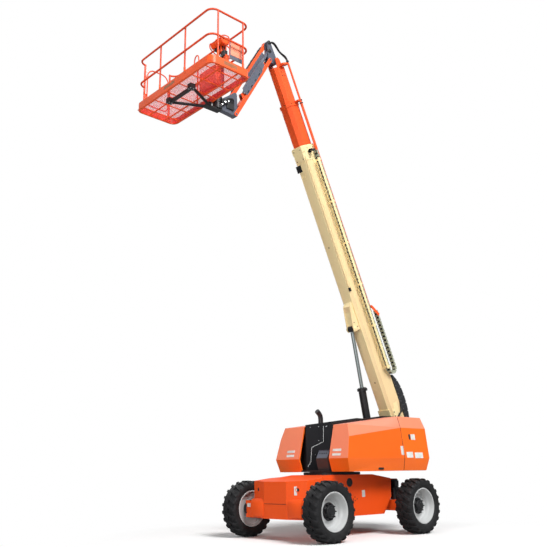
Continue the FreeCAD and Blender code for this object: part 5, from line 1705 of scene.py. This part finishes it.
def floor_paint():
    """Matt floor paint that keeps the shadow near the machine and is plain white further out."""
    material = bpy.data.materials.new("floor_white")
    material.use_nodes = True
    tree = material.node_tree
    tree.nodes.clear()
    place = tree.nodes.new("ShaderNodeTexCoord")
    reach = tree.nodes.new("ShaderNodeVectorMath")
    reach.operation = "LENGTH"
    band = tree.nodes.new("ShaderNodeMapRange")
    band.interpolation_type = "SMOOTHSTEP"
    band.inputs["From Min"].default_value = SHADOW_REACH[0]
    band.inputs["From Max"].default_value = SHADOW_REACH[1]
    path = tree.nodes.new("ShaderNodeLightPath")
    share = tree.nodes.new("ShaderNodeMath")
    share.operation = "MULTIPLY"
    matt = tree.nodes.new("ShaderNodeBsdfDiffuse")
    tone = tree.nodes.new("ShaderNodeMapRange")
    tone.inputs["To Min"].default_value = FLOOR_BOUNCE
    tone.inputs["To Max"].default_value = FLOOR_TONE
    tree.links.new(path.outputs["Is Camera Ray"], tone.inputs["Value"])
    tree.links.new(tone.outputs["Result"], matt.inputs["Color"])
    white = tree.nodes.new("ShaderNodeEmission")
    mix = tree.nodes.new("ShaderNodeMixShader")
    out = tree.nodes.new("ShaderNodeOutputMaterial")
    middle = tree.nodes.new("ShaderNodeMapping")
    middle.inputs["Location"].default_value = -joint_point("slew")
    tree.links.new(place.outputs["Object"], middle.inputs["Vector"])
    tree.links.new(middle.outputs["Vector"], reach.inputs[0])
    tree.links.new(reach.outputs["Value"], band.inputs["Value"])
    tree.links.new(path.outputs["Is Camera Ray"], share.inputs[0])
    tree.links.new(band.outputs["Result"], share.inputs[1])
    tree.links.new(share.outputs["Value"], mix.inputs["Fac"])
    tree.links.new(matt.outputs["BSDF"], mix.inputs[1])
    tree.links.new(white.outputs["Emission"], mix.inputs[2])
    tree.links.new(mix.outputs["Shader"], out.inputs["Surface"])
    return material


def stage():
    """A pale level floor that runs out to a plain backdrop."""
    mesh = bmesh.new()
    reach = 60
    add_box(mesh, (-reach, -reach, -0.05), (reach, reach, -0.001))
    data = bpy.data.meshes.new("floor")
    mesh.to_mesh(data)
    mesh.free()
    floor = bpy.data.objects.new("floor", data)
    bpy.context.scene.collection.objects.link(floor)
    data.materials.append(floor_paint())
    world = bpy.data.worlds.new("white_room")
    bpy.context.scene.world = world
    world.use_nodes = True
    tree = world.node_tree
    way = tree.nodes.new("ShaderNodeTexCoord")
    split = tree.nodes.new("ShaderNodeSeparateXYZ")
    tree.links.new(way.outputs["Generated"], split.inputs["Vector"])
    path = tree.nodes.new("ShaderNodeLightPath")

    def sky(low, dim, high, bright):
        """A sky that is dim near the horizon and bright higher up."""
        band = tree.nodes.new("ShaderNodeMapRange")
        for key, value in (
            ("From Min", low), ("To Min", dim), ("From Max", high), ("To Max", bright)
        ):
            band.inputs[key].default_value = value
        tree.links.new(split.outputs["Z"], band.inputs["Value"])
        glow = tree.nodes.new("ShaderNodeBackground")
        tree.links.new(band.outputs["Result"], glow.inputs["Color"])
        return glow

    lit = sky(0.20, 0.04, 0.80, 0.30)
    mirrored = sky(0.22, 0.07, 0.48, 1.0)
    seen = tree.nodes.new("ShaderNodeBackground")
    seen.inputs["Color"].default_value = (1, 1, 1, 1)
    for ray, over in (("Is Glossy Ray", mirrored), ("Is Camera Ray", seen)):
        mix = tree.nodes.new("ShaderNodeMixShader")
        tree.links.new(path.outputs[ray], mix.inputs["Fac"])
        tree.links.new(lit.outputs[0], mix.inputs[1])
        tree.links.new(over.outputs[0], mix.inputs[2])
        lit = mix
    tree.links.new(lit.outputs[0], tree.nodes["World Output"].inputs["Surface"])


def area_light(name, place, target, size, power):
    light = bpy.data.lights.new(name, "AREA")
    light.shape = "DISK"
    light.size = size
    light.energy = power
    item = bpy.data.objects.new(name, light)
    item.location = place
    item.rotation_euler = (Vector(target) - Vector(place)).to_track_quat("-Z", "Y").to_euler()
    bpy.context.scene.collection.objects.link(item)


def camera():
    """The photographer stands low, to the front left, and looks up the boom."""
    data = bpy.data.cameras.new("camera")
    data.sensor_width = 36
    data.lens = 46.73
    item = bpy.data.objects.new("camera", data)
    bpy.context.scene.collection.objects.link(item)
    slew = joint_point("slew")
    item.location = (slew.x + 10.45, 9.83, 1.18)
    yaw, pitch, roll = math.radians(227.55), math.radians(15.56), math.radians(-0.80)
    look = Vector(
        (math.cos(pitch) * math.cos(yaw), math.cos(pitch) * math.sin(yaw), math.sin(pitch))
    )
    turn = look.to_track_quat("-Z", "Y").to_matrix() @ Matrix.Rotation(roll, 3, "Z")
    item.rotation_euler = turn.to_euler()
    bpy.context.scene.camera = item


stage()
area_light("sky", (3, 22, 24), (-1, 0, 1), 14, 10300)
area_light("key", (22, 10, 6), (0, 0, 2), 9, 2350)
area_light("fill", (-6, -26, 14), (0, 0, 3), 14, 1500)
camera()

scene = bpy.context.scene
scene.view_settings.view_transform = "Standard"
scene.view_settings.look = "None"
